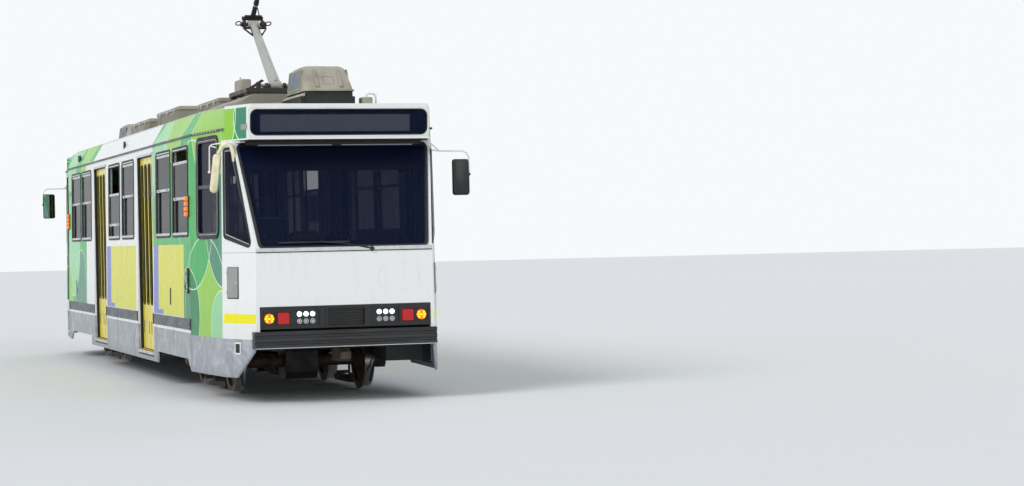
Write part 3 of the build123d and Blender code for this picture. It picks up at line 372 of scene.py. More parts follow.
livery = {
    "white": (0.93, 0.935, 0.93), "lime": (0.58, 0.80, 0.28), "leaf": (0.20, 0.68, 0.33), "teal": (0.25, 0.54, 0.42),
    "mint": (0.58, 0.84, 0.62), "deep": (0.08, 0.52, 0.30), "yellow": (0.86, 0.86, 0.22), "blue": (0.44, 0.50, 0.80),
    "stripe": (0.97, 0.93, 0.05), "line": (0.85, 0.96, 0.82), "seam": (0.30, 0.33, 0.32), "grime": (0.62, 0.58, 0.48),
    "roof": (0.60, 0.62, 0.55),
    # green stretches of the side: x0, x1, z0, z1 on the photographed side
    "greens": [(5.02, 6.756, 0.60, 2.98), (2.84, 5.5, 1.70, 2.98), (-7.0, -3.42, 0.86, 2.98), (2.84, 6.85, 2.98, 3.6),
               (-6.85, -2.62, 2.98, 3.6)],
    # discs over the green: x, z, radius, colour
    "discs": [(6.05, 0.85, 0.95, "lime"), (5.55, 2.05, 0.85, "leaf"), (6.72, 0.80, 0.40, "mint"), (6.85, 1.95, 0.72, "teal"),
              (6.3, 3.15, 0.78, "lime"), (5.3, 0.9, 0.55, "deep"), (7.32, 3.05, 0.28, "teal"), (4.3, 3.55, 0.85, "lime"),
              (3.4, 2.7, 0.55, "mint"), (-4.1, 1.05, 0.62, "teal"), (-5.0, 1.75, 0.8, "mint"), (-5.7, 0.85, 0.65, "lime"),
              (-6.5, 2.3, 0.9, "leaf"), (-3.6, 3.35, 0.55, "lime"), (-5.2, 3.4, 0.8, "mint"), (-6.9, 1.1, 0.6, "deep")],
    "edge": 0.007,  # half width of the discs' pale outline
    # plain yellow panels: x0, x1, the blue strip's far edge; then their foot and top
    "panels": [(2.86, 5.02, 3.22), (-1.26, 1.42, -0.86)], "panelLow": 0.872, "panelTop": 1.715,
    "seams": [5.47, -5.47, 2.80, -2.56, 4.2, -4.2, 1.62, -1.37, 0.13],
}


def bodyPaint():
    # white, greens with discs, panels, front stripe, roof grey, seams and grime, all by place
    f = Finish("bodyPaint", Coat_Weight=0.03, Coat_Roughness=0.10, Specular_IOR_Level=0.16)
    x, y, z = f.axes()
    u = f.alongSide(x, y)
    header = f.both(f.within(f.math("ABSOLUTE", x), 6.76, 7.300), f.within(z, 2.838, 3.172), f.beyond(y, 0.95))
    greens = [f.both(f.within(u, x0, x1), f.within(z, z0, z1)) for x0, x1, z0, z1 in livery["greens"]]
    flat = f.node("CombineXYZ", u, z, 0.0).outputs[0]
    pattern, edges = livery["leaf"], []
    for cx, cz, r, name in livery["discs"]:
        away = f.node("VectorMath", flat, (cx, cz, 0.0), operation="DISTANCE").outputs["Value"]
        pattern = f.mix(f.math("LESS_THAN", away, r), pattern, livery[name])
        edges.append(f.near(away, r, livery["edge"]))
    pattern = f.mix(f.fold("MAXIMUM", edges), pattern, livery["line"])
    colour = f.mix(f.fold("MAXIMUM", greens + [header]), livery["white"], pattern)
    sheet = f.within(z, livery["panelLow"], livery["panelTop"])
    for x0, x1, strip in livery["panels"]:
        colour = f.mix(f.both(f.within(u, x0, x1), sheet), colour, livery["yellow"])
        foot = f.both(f.within(u, x0, strip + 0.35), f.within(z, livery["panelLow"], 0.93))
        blue = f.math("MAXIMUM", f.both(f.within(u, x0, strip), sheet), foot)
        colour = f.mix(blue, colour, livery["blue"])
    colour = f.mix(f.both(f.beyond(x, 6.81), f.beyond(y, 0.985), f.within(z, 0.852, 0.953)), colour, livery["stripe"])
    top = f.both(f.spread(z, 3.20, 3.245), f.math("LESS_THAN", f.math("ABSOLUTE", x), 6.852))
    colour = f.mix(top, colour, livery["roof"])
    sill = f.both(f.near(z, 1.612, 0.0022), f.beyond(x, 6.76))
    seams = f.fold("MAXIMUM", [f.near(u, c, 0.0025) for c in livery["seams"]] + [sill])
    colour = f.mix(f.math("MULTIPLY", seams, 0.75), colour, livery["seam"])
    runs = f.noise(3.2, 5.0, (4.0, 4.0, 0.7))
    low = f.math("MULTIPLY", f.spread(z, 1.15, 0.70), 0.10)
    dirt = f.fold("ADD", [f.spread(runs, 0.55, 0.85, 0.0, 0.14), low, f.spread(f.noise(38.0, 3.0), 0.70, 0.80, 0.0, 0.12)])
    rough = f.spread(runs, 0.35, 0.75, 0.24, 0.42)
    return f.painted(f.mix(dirt, colour, livery["grime"]), rough, f.noise(1.7, 2.0), 0.10, 0.004)


skirt = {
    "grey": (0.58, 0.60, 0.63), "pale": (0.76, 0.77, 0.79), "streak": (0.44, 0.45, 0.46), "mud": (0.33, 0.31, 0.28),
    "edge": (0.92, 0.93, 0.93), "seam": (0.2, 0.21, 0.22), "seams": (5.46, 4.02, 3.1, -1.2, 0.3, 1.3, -3.0, -4.3, -5.46),
}


def skirtPaint():
    # wiped grey with a white top edge, mud at its foot and panel seams
    f = Finish("skirtPaint", Coat_Weight=0.1, Coat_Roughness=0.25)
    x, y, z = f.axes()
    swirl = f.noise(2.6, 7.0, (1, 1, 1), 2.4)
    fine = f.noise(22.0, 4.0, (0.4, 0.4, 2.2))
    colour = f.mix(f.spread(swirl, 0.45, 0.62, 0.0, 0.65), skirt["grey"], skirt["pale"])
    colour = f.mix(f.spread(fine, 0.56, 0.75, 0.0, 0.4), colour, skirt["streak"])
    colour = f.mix(f.math("MULTIPLY", f.spread(z, 0.40, 0.26, 0.0, 0.55), swirl), colour, skirt["mud"])
    colour = f.mix(f.within(z, 0.701, 0.736), colour, skirt["edge"])
    u = f.alongSide(x, y)
    seams = f.fold("MAXIMUM", [f.near(u, c, 0.003) for c in skirt["seams"]])
    colour = f.mix(f.math("MULTIPLY", seams, 0.7), colour, skirt["seam"])
    return f.painted(colour, f.spread(swirl, 0.4, 0.65, 0.42, 0.62), fine, 0.12, 0.002)


def glassFinish(name, shade, alpha):
    # dark see-through pane with a thin film of dust
    f = Finish(name, Roughness=0.03, Alpha=alpha, IOR=1.14, Specular_IOR_Level=0.40)
    return f.painted(f.mix(f.spread(f.noise(1.1, 3.0), 0.4, 0.7, 0.0, 0.10), shade, (0.16, 0.19, 0.24)))


def glowing(name, shade, light, strength):
    f = Finish(name, Roughness=0.2, Emission_Color=light, Emission_Strength=strength)
    return f.painted(f.mix(f.spread(f.noise(120.0, 2.0), 0.4, 0.6, 0.0, 0.3), shade, light))


def wovenFabric():
    f = Finish("seatCloth", Roughness=0.95, Sheen_Weight=0.4)
    weave = f.both(*(f.math("SINE", f.math("MULTIPLY", axis, 900.0)) for axis in f.axes()[:2]))
    colour = f.mix(f.spread(f.noise(40.0, 3.0), 0.52, 0.6), (0.12, 0.34, 0.24), (0.42, 0.66, 0.34))
    colour = f.mix(f.spread(weave, -1.0, 1.0, 0.0, 0.3), colour, (0.05, 0.14, 0.11))
    return f.painted(colour, None, weave, 0.3, 0.0008)


def rubberFloor():
    f = Finish("floorRubber")
    speck, wear = f.noise(260.0, 2.0), f.noise(2.0, 5.0)
    colour = f.mix(f.spread(speck, 0.60, 0.66), (0.30, 0.32, 0.33), (0.60, 0.61, 0.60))
    colour = f.mix(f.spread(wear, 0.5, 0.75, 0.0, 0.5), colour, (0.40, 0.38, 0.35))
    return f.painted(colour, f.spread(wear, 0.3, 0.7, 0.5, 0.75), speck, 0.1, 0.001)


bogie = {
    "at": 4.25, "half": 0.90, "axle": 0.330, "tread": 0.322, "beamOut": 0.975, "beamTop": 0.560,
    "spring": (0.9325, 0.400, 0.649, 0.095),  # y, foot, top, radius
    "capY": 1.017, "boxY": 1.001,
}


def wheelSteel():
    # dull rusty disc, bright running surface
    f = Finish("wheelSteel")
    x, y, z = f.axes()
    height = f.math("SUBTRACT", z, bogie["axle"])
    reach = []
    for axle in (bogie["at"] + bogie["half"], bogie["at"] - bogie["half"]):
        dx = f.math("SUBTRACT", f.math("ABSOLUTE", x), axle)
        reach.append(f.math("SQRT", f.math("ADD", f.math("MULTIPLY", dx, dx), f.math("MULTIPLY", height, height))))
    tread = f.within(f.math("ABSOLUTE", y), 0.70, 0.83)
    bright = f.both(tread, f.math("GREATER_THAN", f.fold("MINIMUM", reach), bogie["tread"]))
    f.feed(f.shader.inputs["Metallic"], bright)
    colour = f.mix(f.spread(f.noise(9.0, 6.0), 0.35, 0.7), (0.26, 0.22, 0.19), (0.40, 0.31, 0.24))
    colour = f.mix(bright, colour, (0.72, 0.72, 0.71))
    return f.painted(colour, f.spread(bright, 0.0, 1.0, 0.72, 0.25), f.noise(80.0, 4.0))


black = worn("blackRubber", (0.055, 0.055, 0.06), (0.15, 0.15, 0.15), 0.5, 9.0, (0.45, 0.7), 0.2)
blackPlastic = worn("blackPlastic", (0.05, 0.05, 0.055), (0.13, 0.13, 0.135), 0.4, 7.0, (0.28, 0.5), 0.12)
bumperBlack = worn("bumperBlack", (0.06, 0.062, 0.07), (0.26, 0.26, 0.27), 0.55, 5.0, (0.35, 0.62), 0.25, (1, 0.35, 2.5))
silver = worn("brightMetal", (0.80, 0.81, 0.82), (0.55, 0.55, 0.54), 0.4, 12.0, (0.25, 0.45), 0.1, Metallic=0.7)
whitePaint = worn("whiteGloss", (0.92, 0.925, 0.92), (0.74, 0.72, 0.64), 0.35, 3.0, (0.22, 0.4), 0.06, Coat_Weight=0.3)
greyPaint = worn("greyPanel", (0.60, 0.61, 0.60), (0.42, 0.42, 0.40), 0.4, 5.0, (0.4, 0.6), 0.12)
darkBand = worn("rubBand", (0.38, 0.40, 0.42), (0.26, 0.27, 0.28), 0.5, 4.0, (0.45, 0.65), 0.15, (1, 1, 3))
roofGrey = worn("roofGrey", (0.60, 0.59, 0.54), (0.42, 0.40, 0.35), 0.55, 2.2, (0.55, 0.8), 0.25)
hoodPlastic = worn("hoodPlastic", (0.66, 0.64, 0.58), (0.46, 0.43, 0.37), 0.5, 4.0, (0.4, 0.65), 0.2)
hoodDark = worn("hoodBase", (0.30, 0.29, 0.27), (0.18, 0.17, 0.16), 0.5, 6.0, (0.5, 0.7), 0.2)
darkIron = worn("darkIron", (0.10, 0.10, 0.105), (0.24, 0.21, 0.19), 0.5, 8.0, (0.45, 0.7), 0.25)
bogieDust = worn("bogieDust", (0.20, 0.17, 0.145), (0.36, 0.31, 0.25), 0.65, 4.0, (0.65, 0.88), 0.35)
castGrey = worn("castGrey", (0.22, 0.21, 0.20), (0.12, 0.11, 0.10), 0.6, 7.0, (0.4, 0.75), 0.4)
underGrey = worn("underDust", (0.17, 0.165, 0.16), (0.30, 0.27, 0.23), 0.5, 3.0, (0.6, 0.85), 0.3)
insulator = worn("insulator", (0.38, 0.20, 0.13), (0.24, 0.15, 0.11), 0.5, 14.0, (0.2, 0.4), 0.1, Coat_Weight=0.5)
armGrey = worn("armGrey", (0.68, 0.68, 0.66), (0.50, 0.48, 0.44), 0.25, 3.0, (0.4, 0.6), 0.15)
carbon = worn("carbonStrip", (0.10, 0.10, 0.10), (0.30, 0.29, 0.28), 0.5, 30.0, (0.3, 0.6), 0.1)
grilleBlue = worn("paleGrille", (0.62, 0.66, 0.70), (0.45, 0.48, 0.50), 0.45, 9.0, (0.4, 0.6), 0.15)
creamShell = worn("creamShell", (0.93, 0.90, 0.76), (0.70, 0.65, 0.50), 0.4, 14.0, (0.3, 0.45), 0.06, Coat_Weight=0.3)
mirrorGlass = worn("mirrorGlass", (0.62, 0.66, 0.70), (0.50, 0.53, 0.56), 0.2, 4.0, (0.03, 0.06), 0.0, Metallic=1.0)
blindDark = worn("sunBlind", (0.03, 0.035, 0.06), (0.07, 0.075, 0.10), 0.3, 5.0, (0.5, 0.7), 0.1)
cabinPanel = worn("cabinPanel", (0.72, 0.71, 0.66), (0.55, 0.53, 0.48), 0.35, 3.0, (0.45, 0.65), 0.1)
deskGrey = worn("deskGrey", (0.20, 0.21, 0.22), (0.32, 0.32, 0.31), 0.4, 9.0, (0.5, 0.7), 0.3)
poleYellow = worn("poleYellow", (0.90, 0.78, 0.12), (0.70, 0.58, 0.12), 0.4, 12.0, (0.3, 0.45), 0.05, Coat_Weight=0.3)
doorYellow = worn("doorYellow", (0.93, 0.86, 0.22), (0.66, 0.60, 0.26), 0.35, 4.0, (0.28, 0.45), 0.08, (2, 2, 0.6),
                  Coat_Weight=0.3)
nosing = worn("stepNosing", (0.85, 0.76, 0.20), (0.40, 0.36, 0.20), 0.6, 14.0, (0.5, 0.75), 0.3)
ledge = worn("stepLedge", (0.80, 0.79, 0.75), (0.50, 0.48, 0.44), 0.5, 8.0, (0.4, 0.65), 0.2, Metallic=0.2)
mirrorShell = twoTone("mirrorShell", lambda f, x, y, z: f.math("GREATER_THAN", f.math("MULTIPLY", x, y), 0.0),
                      ((0.86, 0.83, 0.70), (0.62, 0.58, 0.46)), ((0.06, 0.06, 0.07), (0.16, 0.16, 0.16)),
                      (14.0, 4.0), (0.45, 0.7, 0.0, 0.4), (0.35, 0.5), Coat_Weight=0.3)  # beige ovals, black squares
frameMetal = twoTone("frameMetal", lambda f, x, y, z: f.beyond(x, 5.6),
                     ((0.83, 0.84, 0.85), (0.62, 0.63, 0.64)), ((0.045, 0.05, 0.055),) * 2,
                     (30.0, 4.0), (0.45, 0.75, 0.0, 0.4), (0.32, 0.5), Coat_Weight=0.1, Metallic=0.25)  # black by the driver
baseIron = twoTone("baseIron", lambda f, x, y, z: f.math("LESS_THAN", z, 3.52),
                   ((0.10, 0.10, 0.105), (0.24, 0.21, 0.19)), ((0.38, 0.20, 0.13), (0.24, 0.15, 0.11)),
                   (9.0, 5.0), (0.42, 0.72, 0.0, 0.5), (0.35, 0.65))  # brown insulators under a dark frame
# the blank display is no lamp: its glow is painted light that lifts it out of the shade of its recess
displayPaintedGlow = glowing("blankDisplayPaintedGlow", (0.36, 0.39, 0.42), (0.50, 0.54, 0.56), 0.95)
stripLight = glowing("stripLight", (0.55, 0.57, 0.60), (0.85, 0.9, 1.0), 0.06)
ledWhite = glowing("ledWhite", (0.95, 0.97, 1.0), (0.93, 0.97, 1.0), 6.0)
ledAmber = glowing("ledAmber", (1.0, 0.72, 0.10), (1.0, 0.55, 0.03), 4.5)
amberLens = glowing("amberLens", (0.90, 0.50, 0.10), (1.0, 0.52, 0.06), 0.35)
redLens = glowing("redLens", (0.60, 0.07, 0.06), (0.9, 0.08, 0.05), 0.15)
windowGlass = glassFinish("windowGlass", (0.06, 0.08, 0.11), 0.72)
doorGlass = glassFinish("doorGlass", (0.06, 0.065, 0.065), 0.85)
# cab glass: a dark tint lightened to blue-grey as a painted reflection
cabGlassPaintedReflection = glassFinish("cabGlassPaintedReflection", (0.07, 0.10, 0.20), 0.58)
print("finishes ready")

nodeFinish = {
    # CAD node, or how its name starts: finish
    "side_wall": bodyPaint(), "skirts": skirtPaint(), "side_mouldings": darkBand, "window_frames": frameMetal,
    "side_windows": windowGlass, "cab_glass": cabGlassPaintedReflection, "door_portals": blackPlastic, "step_wells": deskGrey,
    "floor": rubberFloor(), "underframe": underGrey, "underfloor_boxes": underGrey, "bumpers": bumperBlack,
    "lamp_panels": blackPlastic, "couplers": bogieDust, "mirrors": mirrorShell, "roof_equipment": roofGrey,
    "pantograph_base": baseIron, "pantograph_lower_arm": armGrey, "pantograph_upper_arm": darkIron,
    "pantograph_head": darkIron, "seat_frames": cabinPanel, "cab_interiors": deskGrey, "cab_partitions": cabinPanel,
    "grab_poles": poleYellow, "bogie_frame": bogieDust, "drive_unit": castGrey, "wheelset": wheelSteel(),
    "door_left": doorYellow, "door_right": doorYellow, "lamps": amberLens, "air_conditioners": hoodPlastic,
    "seat_cushions": wovenFabric(),
}
for same in ("cab_shell", "destination_boxes", "roof"):
    nodeFinish[same] = nodeFinish["side_wall"]
for name, node in nodes.items():
    key = max((k for k in nodeFinish if name.startswith(k)), key=len)
    node.data.materials.clear()
    node.data.materials.append(nodeFinish[key])
print("CAD nodes painted")


screenGlass = {"low": 0.040, "high": 1.207 / math.cos(body["rake"]) - 0.040, "halfLow": 0.925, "halfHigh": 1.068,
               "radius": 0.06, "blind": 0.31}


def screenOutline(grow):
    g = screenGlass
    a, b = g["halfLow"] + grow, g["halfHigh"] + grow
    lo, hi = g["low"] - grow, g["high"] + grow
    return roundOff([(-a, lo), (a, lo), (b, hi), (-b, hi)], max(0.012, g["radius"] + grow))


def cornerOutline(grow):
    length = math.hypot(cornerY - body["noseHalf"], body["nose"] - body["corner"])
    points = [(0.040 - grow, 0.925 - grow * 1.15), (length - 0.082 + grow * 0.75, 0.800 - grow * 1.15),
              (length - 0.480 + grow * 1.2, 1.880 + grow), (0.040 - grow, 1.880 + grow)]
    return roundOff(points, max(0.014, 0.045 + grow))


def windscreenSeals():
    # rubber and ceramic band round the windscreens, sun blind behind them, seals of the corner glass
    g = screenGlass
    top, wide = g["high"], g["halfHigh"]
    narrow = wide - g["blind"] * (wide - g["halfLow"]) / (top - g["low"])
    s = Shape().use(black).hoop(screen, screenOutline(0.012), screenOutline(-0.016), -0.003, 0.009, 0.002)
    s.use(blackPlastic).hoop(screen, screenOutline(-0.014), screenOutline(-0.075), -0.0100, -0.0084)
    blind = [(-narrow, top - g["blind"]), (narrow, top - g["blind"]), (wide, top), (-wide, top)]
    s.use(blindDark).slab(screen, blind, -0.028, -0.024)
    for wall in (leftFacet, rightFacet):
        s.use(black).hoop(wall, cornerOutline(0.014), cornerOutline(-0.020), -0.003, 0.010, 0.002)
        s.use(silver).hoop(wall, cornerOutline(-0.021), cornerOutline(-0.030), -0.003, 0.007)
    s.alsoTurned().piece("windscreen_seals", slot="moulding_grey")


header = {"z0": 2.862, "z1": 3.148, "half": 0.982, "slope": math.atan2(0.036, 0.381), "x": 7.346, "bottom": 2.822,
          "display": (-0.790, 0.868)}


def headerFace():
    # dark glass mask, blank display with a painted glow, and the rim's rounded inner corners
    h = header
    place = ahead(h["x"], 0, h["bottom"], -h["slope"])
    low, high, half = h["z0"] - h["bottom"], h["z1"] - h["bottom"], h["half"]
    d0, d1 = h["display"]
    s = Shape().use(whitePaint).hoop(place, rect(-1.000, 1.000, low - 0.014, high + 0.018, 0.018),
                                     rect(-half, half, low + 0.002, high - 0.002, 0.075), -0.004, 0.003)
    s.use(black).hoop(place, rect(-half - 0.002, half + 0.002, low, high, 0.077),
                      rect(-0.972, 0.972, low + 0.012, high - 0.012, 0.068), -0.010, 0.0045)
    s.use(blackPlastic).hoop(place, rect(-0.981, 0.981, low + 0.001, high - 0.001, 0.01),
                             rect(d0, d1, low + 0.040, high - 0.062, 0.008), -0.024, -0.018)
    # unlit display panel given a painted glow so that it shows grey behind the dark glass
    s.use(displayPaintedGlow).slab(place, rect(d0 - 0.002, d1 + 0.002, low + 0.038, high - 0.060), -0.034, -0.026)
    s.alsoTurned().piece("header_faces", slot="bumper_black")


soffit = {
    # ends of the ceiling: x, half width; light strips: y0, y1; then half width and heights of the sill strip
    "back": (7.02, 1.085), "front": (7.330, 0.985), "lights": ((-0.84, -0.02), (0.09, 0.89)), "lightLow": 2.765,
    "sillHalf": 0.975, "sill": (1.615, 1.655),
}


def soffits():
    # dark ceiling under the destination box with two light strips, and the strip under the windscreen
    top, low, half = header["bottom"] - 0.001, soffit["lightLow"], soffit["sillHalf"]
    (x0, w0), (x1, w1) = soffit["back"], soffit["front"]
    s = Shape().use(blackPlastic)
    s.slab(plan, [(x0, -w0), (x1, -w1), (x1, w1), (x0, w0)], top - 0.010, top)
    for y0, y1 in soffit["lights"]:
        s.use(stripLight).block(onRail, 7.050, 7.068, y0, y1, low, low + 0.010)
    s.use(blackPlastic).block(onRail, 7.040, 7.076, -0.98, 0.98, low + 0.009, top - 0.009)
    z0, z1 = soffit["sill"]
    s.use(silver).block(front, -half, half, -0.004, 0.011, z0, z1)
    s.use(black).block(front, -half + 0.005, half - 0.005, -0.004, 0.006, z0 - 0.009, z0 + 0.001)
    s.alsoTurned().piece("soffits_and_sills", slot="bumper_black", bevel=0.002)


lampTable = {
    # from the middle outwards: x0, x1, z0, z1
    "amber": (0.767, 0.915, 0.836, 0.969), "red": (0.620, 0.755, 0.836, 0.969), "head": (0.280, 0.600, 0.815, 1.000),
    "leds": 3, "ledPitch": 0.072, "amberRing": 0.037,
}


def lampFaces():
    # amber ring of LEDs, red lens and two rows of headlamp LEDs on each side
    t = lampTable
    s = Shape()
    for side in (-1, 1):
        amber, red, head = ((*sorted((side * t[k][0], side * t[k][1])), *t[k][2:]) for k in ("amber", "red", "head"))
        cx, cz = (amber[0] + amber[1]) / 2, (amber[2] + amber[3]) / 2
        s.use(blackPlastic).slab(front, rect(cx - 0.072, cx + 0.072, amber[2], amber[3], 0.012), -0.038, -0.014)
        s.use(amberLens).slab(front, circle(cx, cz, 0.056, 24), -0.016, -0.002, 0.004)
        s.use(ledAmber)
        for x, z in circle(cx, cz, t["amberRing"], 8):
            if abs(x - cx) > 0.001:
                s.slab(front, circle(x, z, 0.013, 12), -0.006, 0.001, 0.003)
        s.block(front, cx - 0.018, cx + 0.018, -0.006, 0.001, cz - 0.006, cz + 0.006)
        s.use(redLens).slab(front, grown(red, -0.003, 0.013), -0.038, -0.001, 0.003)
        s.use(blackPlastic).slab(front, grown(head, -0.002, 0.010), -0.038, -0.020)
        s.hoop(front, grown(head, -0.001, 0.011), grown(head, -0.014, 0.020), -0.022, -0.004)
        for k in range(t["leds"]):
            x = (head[0] + head[1]) / 2 + (k - 1) * t["ledPitch"]
            for z, r, lit, finish in ((0.945, 0.024, 0.95, ledWhite), (0.868, 0.020, 0.8, silver)):
                s.use(silver).hoop(front, circle(x, z, r + 0.007), circle(x, z, r), -0.021, -0.010)
                s.use(finish).slab(front, circle(x, z, r * lit), -0.019, -0.011, 0.006)
    s.alsoTurned().piece("lamp_faces", slot="lamp_lens", stands=("lamps",))


frontTable = {"repair": (-0.82, -0.36, 1.17, 1.47), "grille": (-0.225, 0.225, 0.800, 1.012)}


def frontDetails():
    # faint outline of a repair, bright line over the lamps, grille surround, bumper's plate and edge
    s = Shape().use(whitePaint)
    s.hoop(front, grown(frontTable["repair"], 0, 0.13, 8), grown(frontTable["repair"], -0.007, 0.131, 8), -0.001, 0.0012)
    s.use(silver).block(front, -0.905, 0.905, -0.002, 0.003, 1.029, 1.034)
    x0, x1, z0, z1 = frontTable["grille"]
    s.use(blackPlastic).hoop(front, rect(x0, x1, z0, z1, 0.012), rect(x0 + 0.022, x1 - 0.022, z0 + 0.016, z1 - 0.016, 0.006),
                             -0.008, 0.003)
    s.use(black)
    for x0, x1 in ((-0.075, 0.075), (0.105, 0.13), (-0.13, -0.105)):
        s.block(front, x0, x1, 0.018, 0.0226, 0.735, 0.757)
    s.use(silver).block(front, -1.004, 1.004, 0.0215, 0.0232, 0.583, 0.590)
    s.alsoTurned().piece("front_trim", slot="bumper_black", bevel=0.0015)


flap = {"u0": 0.10, "u1": 0.33, "z0": 1.126, "z1": 1.456, "jack": (0.262, 0.358, 0.534, 0.632)}


def facetDetails():
    # grey flap and jack recess on each front corner
    s = Shape()
    u0, u1, z0, z1 = flap["u0"], flap["u1"], flap["z0"] - base, flap["z1"] - base
    a, b, low, high = flap["jack"][0], flap["jack"][1], flap["jack"][2] - base, flap["jack"][3] - base
    for wall in (leftFacet, rightFacet):
        s.use(black).slab(wall, rect(u0 - 0.004, u1 + 0.012, z0 - 0.010, z1 + 0.004, 0.008), -0.001, 0.004)
        s.use(greyPaint).slab(wall, rect(u0, u1, z0, z1, 0.008), 0.003, 0.012, 0.003)
        for z in (z0 + 0.06, z1 - 0.06):
            s.use(silver).pipe(wall, [(u0 - 0.006, 0.010, z - 0.016), (u0 - 0.006, 0.010, z + 0.016)], 0.007)
        s.slab(wall, circle(u1 - 0.03, (z0 + z1) / 2, 0.012), 0.011, 0.015, 0.002)
        s.use(whitePaint).hoop(wall, grown((a, b, low, high), 0.017, -0.005), rect(a, b, low, high, 0.006), -0.002, 0.004)
        s.use(black).slab(wall, rect(a, b, low - 0.001, high + 0.001), -0.004, 0.001)
    s.alsoTurned().piece("facet_flaps", slot="skirt_grey", bevel=0.0015)


wiper = {"pivot": -0.30, "arm": [(0.02, 0.026, 0.075), (0.36, 0.018, 0.100)], "blade": (-0.06, 0.72)}


def wipers():
    # one long arm and blade at the foot of each windscreen
    x, (x0, x1) = wiper["pivot"], wiper["blade"]
    s = Shape().use(blackPlastic).lathe(screen @ moved(x, 0.0, 0.012), [(0.026, -0.004), (0.026, 0.020), (0.018, 0.030)], 16)
    s.pipe(screen, [(x, 0.022, 0.012)] + wiper["arm"], [0.010, 0.008, 0.006], 8)
    s.use(black).block(screen, x0, x1, 0.008, 0.020, 0.088, 0.104)
    s.block(screen, x0, x1, 0.001, 0.010, 0.093, 0.099)
    s.alsoTurned().piece("wipers", slot="bumper_black")


windscreenSeals()
headerFace()
soffits()
lampFaces()
frontDetails()
facetDetails()
wipers()
print("fronts dressed")

doorTable = {
    "recess": 0.062, "thick": 0.032, "stile": 0.042, "fold": 0.007, "bottom": 0.391, "top": 2.839,
    "glassLow": 0.960, "glassHigh": 2.749, "hinges": (0.721, 2.359), "ways": ((-1, 1), (1, -1)),
}
doorways = [
    # name on the left, name on the right, x, y, turn, half of the opening, leaf width, how many jambs carry leaves
    ("front", "rear", 1.948, body["panelY"], 0.0, 0.590, 0.2825, 2),
    ("rear", "front", -2.188, body["panelY"], 0.0, 0.590, 0.2825, 2),
    ("cab", "cab", 6.12504, 1.26816, -taperTurn, 0.400, 0.387, 1),
]


def doorPlaces():
    # place of each doorway with its row, on both sides
    for row in doorways:
        at = moved(row[2], row[3], rail) @ turnZ(row[4])
        yield "left", row, at
        yield "right", row, otherEnd @ at


def doorLeaf(node, place, width, folds, lastGap):
    # yellow frame round a tall dark pane, with gaskets, hinges and edge rubbers
    t = doorTable
    x0 = width + t["fold"] if folds else 0.0
    x1, thick, side = x0 + width, t["thick"], 1 if folds else -1
    pane = (x0 + t["stile"], x1 - t["stile"], t["glassLow"], t["glassHigh"])
    s = Shape().use(doorYellow)
    s.hoop(place, rect(x0, x1, t["bottom"], t["top"], 0.008, 4), grown(pane, 0, 0.050, 4), -thick, 0.0)
    s.slab(place, rect(x0 + 0.020, x1 - 0.020, 0.425, 0.900, 0.018, 4), -0.001, 0.0022, 0.0018)
    s.use(black)
    for y0, y1 in ((-0.003, 0.0035), (-thick - 0.0035, -thick + 0.003)):
        s.hoop(place, grown(pane, 0.007, 0.050, 4), grown(pane, -0.008, 0.050, 4), y0, y1)
    s.use(doorGlass).slab(place, grown(pane, 0.004, 0.046, 4), -0.019, -0.013)
    middle = (x0 + x1) / 2 + side * 0.045
    s.use(black).slab(place, rect(middle - 0.015, middle + 0.015, 0.585, 0.752, 0.006, 3), 0.001, 0.0040)
    s.bars(place, middle - 0.011, middle + 0.011, 0.0035, 0.0062, 0.598, 0.009, 0.021, 7)
    near, far = (x1, x1 + lastGap) if folds else (-0.004, 0.0)
    s.block(place, near, far, -thick + 0.004, -0.004, t["bottom"] + 0.006, t["top"] - 0.006)
    pin = width + t["fold"] / 2
    for z in t["hinges"]:
        z0, z1 = (z + 0.0245, z + 0.0485) if folds else (z, z + 0.024)
        s.use(silver).drum(place @ moved(pin, 0.0035, z0) @ turnX(quarter), 0.004, z0 - z1, 0, 12)
        s.block(place, pin, pin + side * 0.026, 0.0, 0.0058, z0, z1)
        for h in (z0 + 0.006, z1 - 0.006):
            s.bolt(place @ moved(0, 0.0058, 0), pin + side * 0.020, h, 0.003, 0.002)
    if not folds:
        for z0, z1, down, up in ((t["bottom"], t["bottom"] + 0.014, 0.022, 0.0), (t["top"] - 0.014, t["top"], 0.0, 0.022)):
            s.block(place, 0.0, 0.024, -0.042, -thick + 0.002, z0, z1)
            s.drum(place @ moved(0, -0.037, z0 - down) @ turnX(quarter), 0.0049, z0 - z1 - down - up, 0, 12)
        grip = [(-thick, 1.18), (-thick - 0.030, 1.21), (-thick - 0.030, 1.62), (-thick, 1.65)]
        s.use(poleYellow).pipe(place, [(width - 0.06, y, z) for y, z in grip], 0.009, 8)
    s.piece("leaf" + node[4:], rides=node, slot="door_yellow", stands=(node,))


def doors():
    for side, row, at in doorPlaces():
        name, width, ends = row[0 if side == "left" else 1], row[6], row[7]
        for sign, way in doorTable["ways"][:ends]:
            outward = way > 0 if side == "left" else way < 0
            stem = f"door_{side}_{name}_{'aft' if outward else 'fore'}"
            place = at @ moved(sign * (row[5] - 0.010), -doorTable["recess"], 0) @ Matrix.Diagonal((way, 1, 1, 1))
            doorLeaf(stem + "_jamb", place, width, False, 0)
            doorLeaf(stem + "_fold", place, width, True, 0.006 if ends == 2 else 0.004)


stepTable = {"double": (0.278, 0.278), "cab": (0.395, 0.200), "heights": (0.380, 0.620, 0.860), "well": -0.125, "ribs": 9}


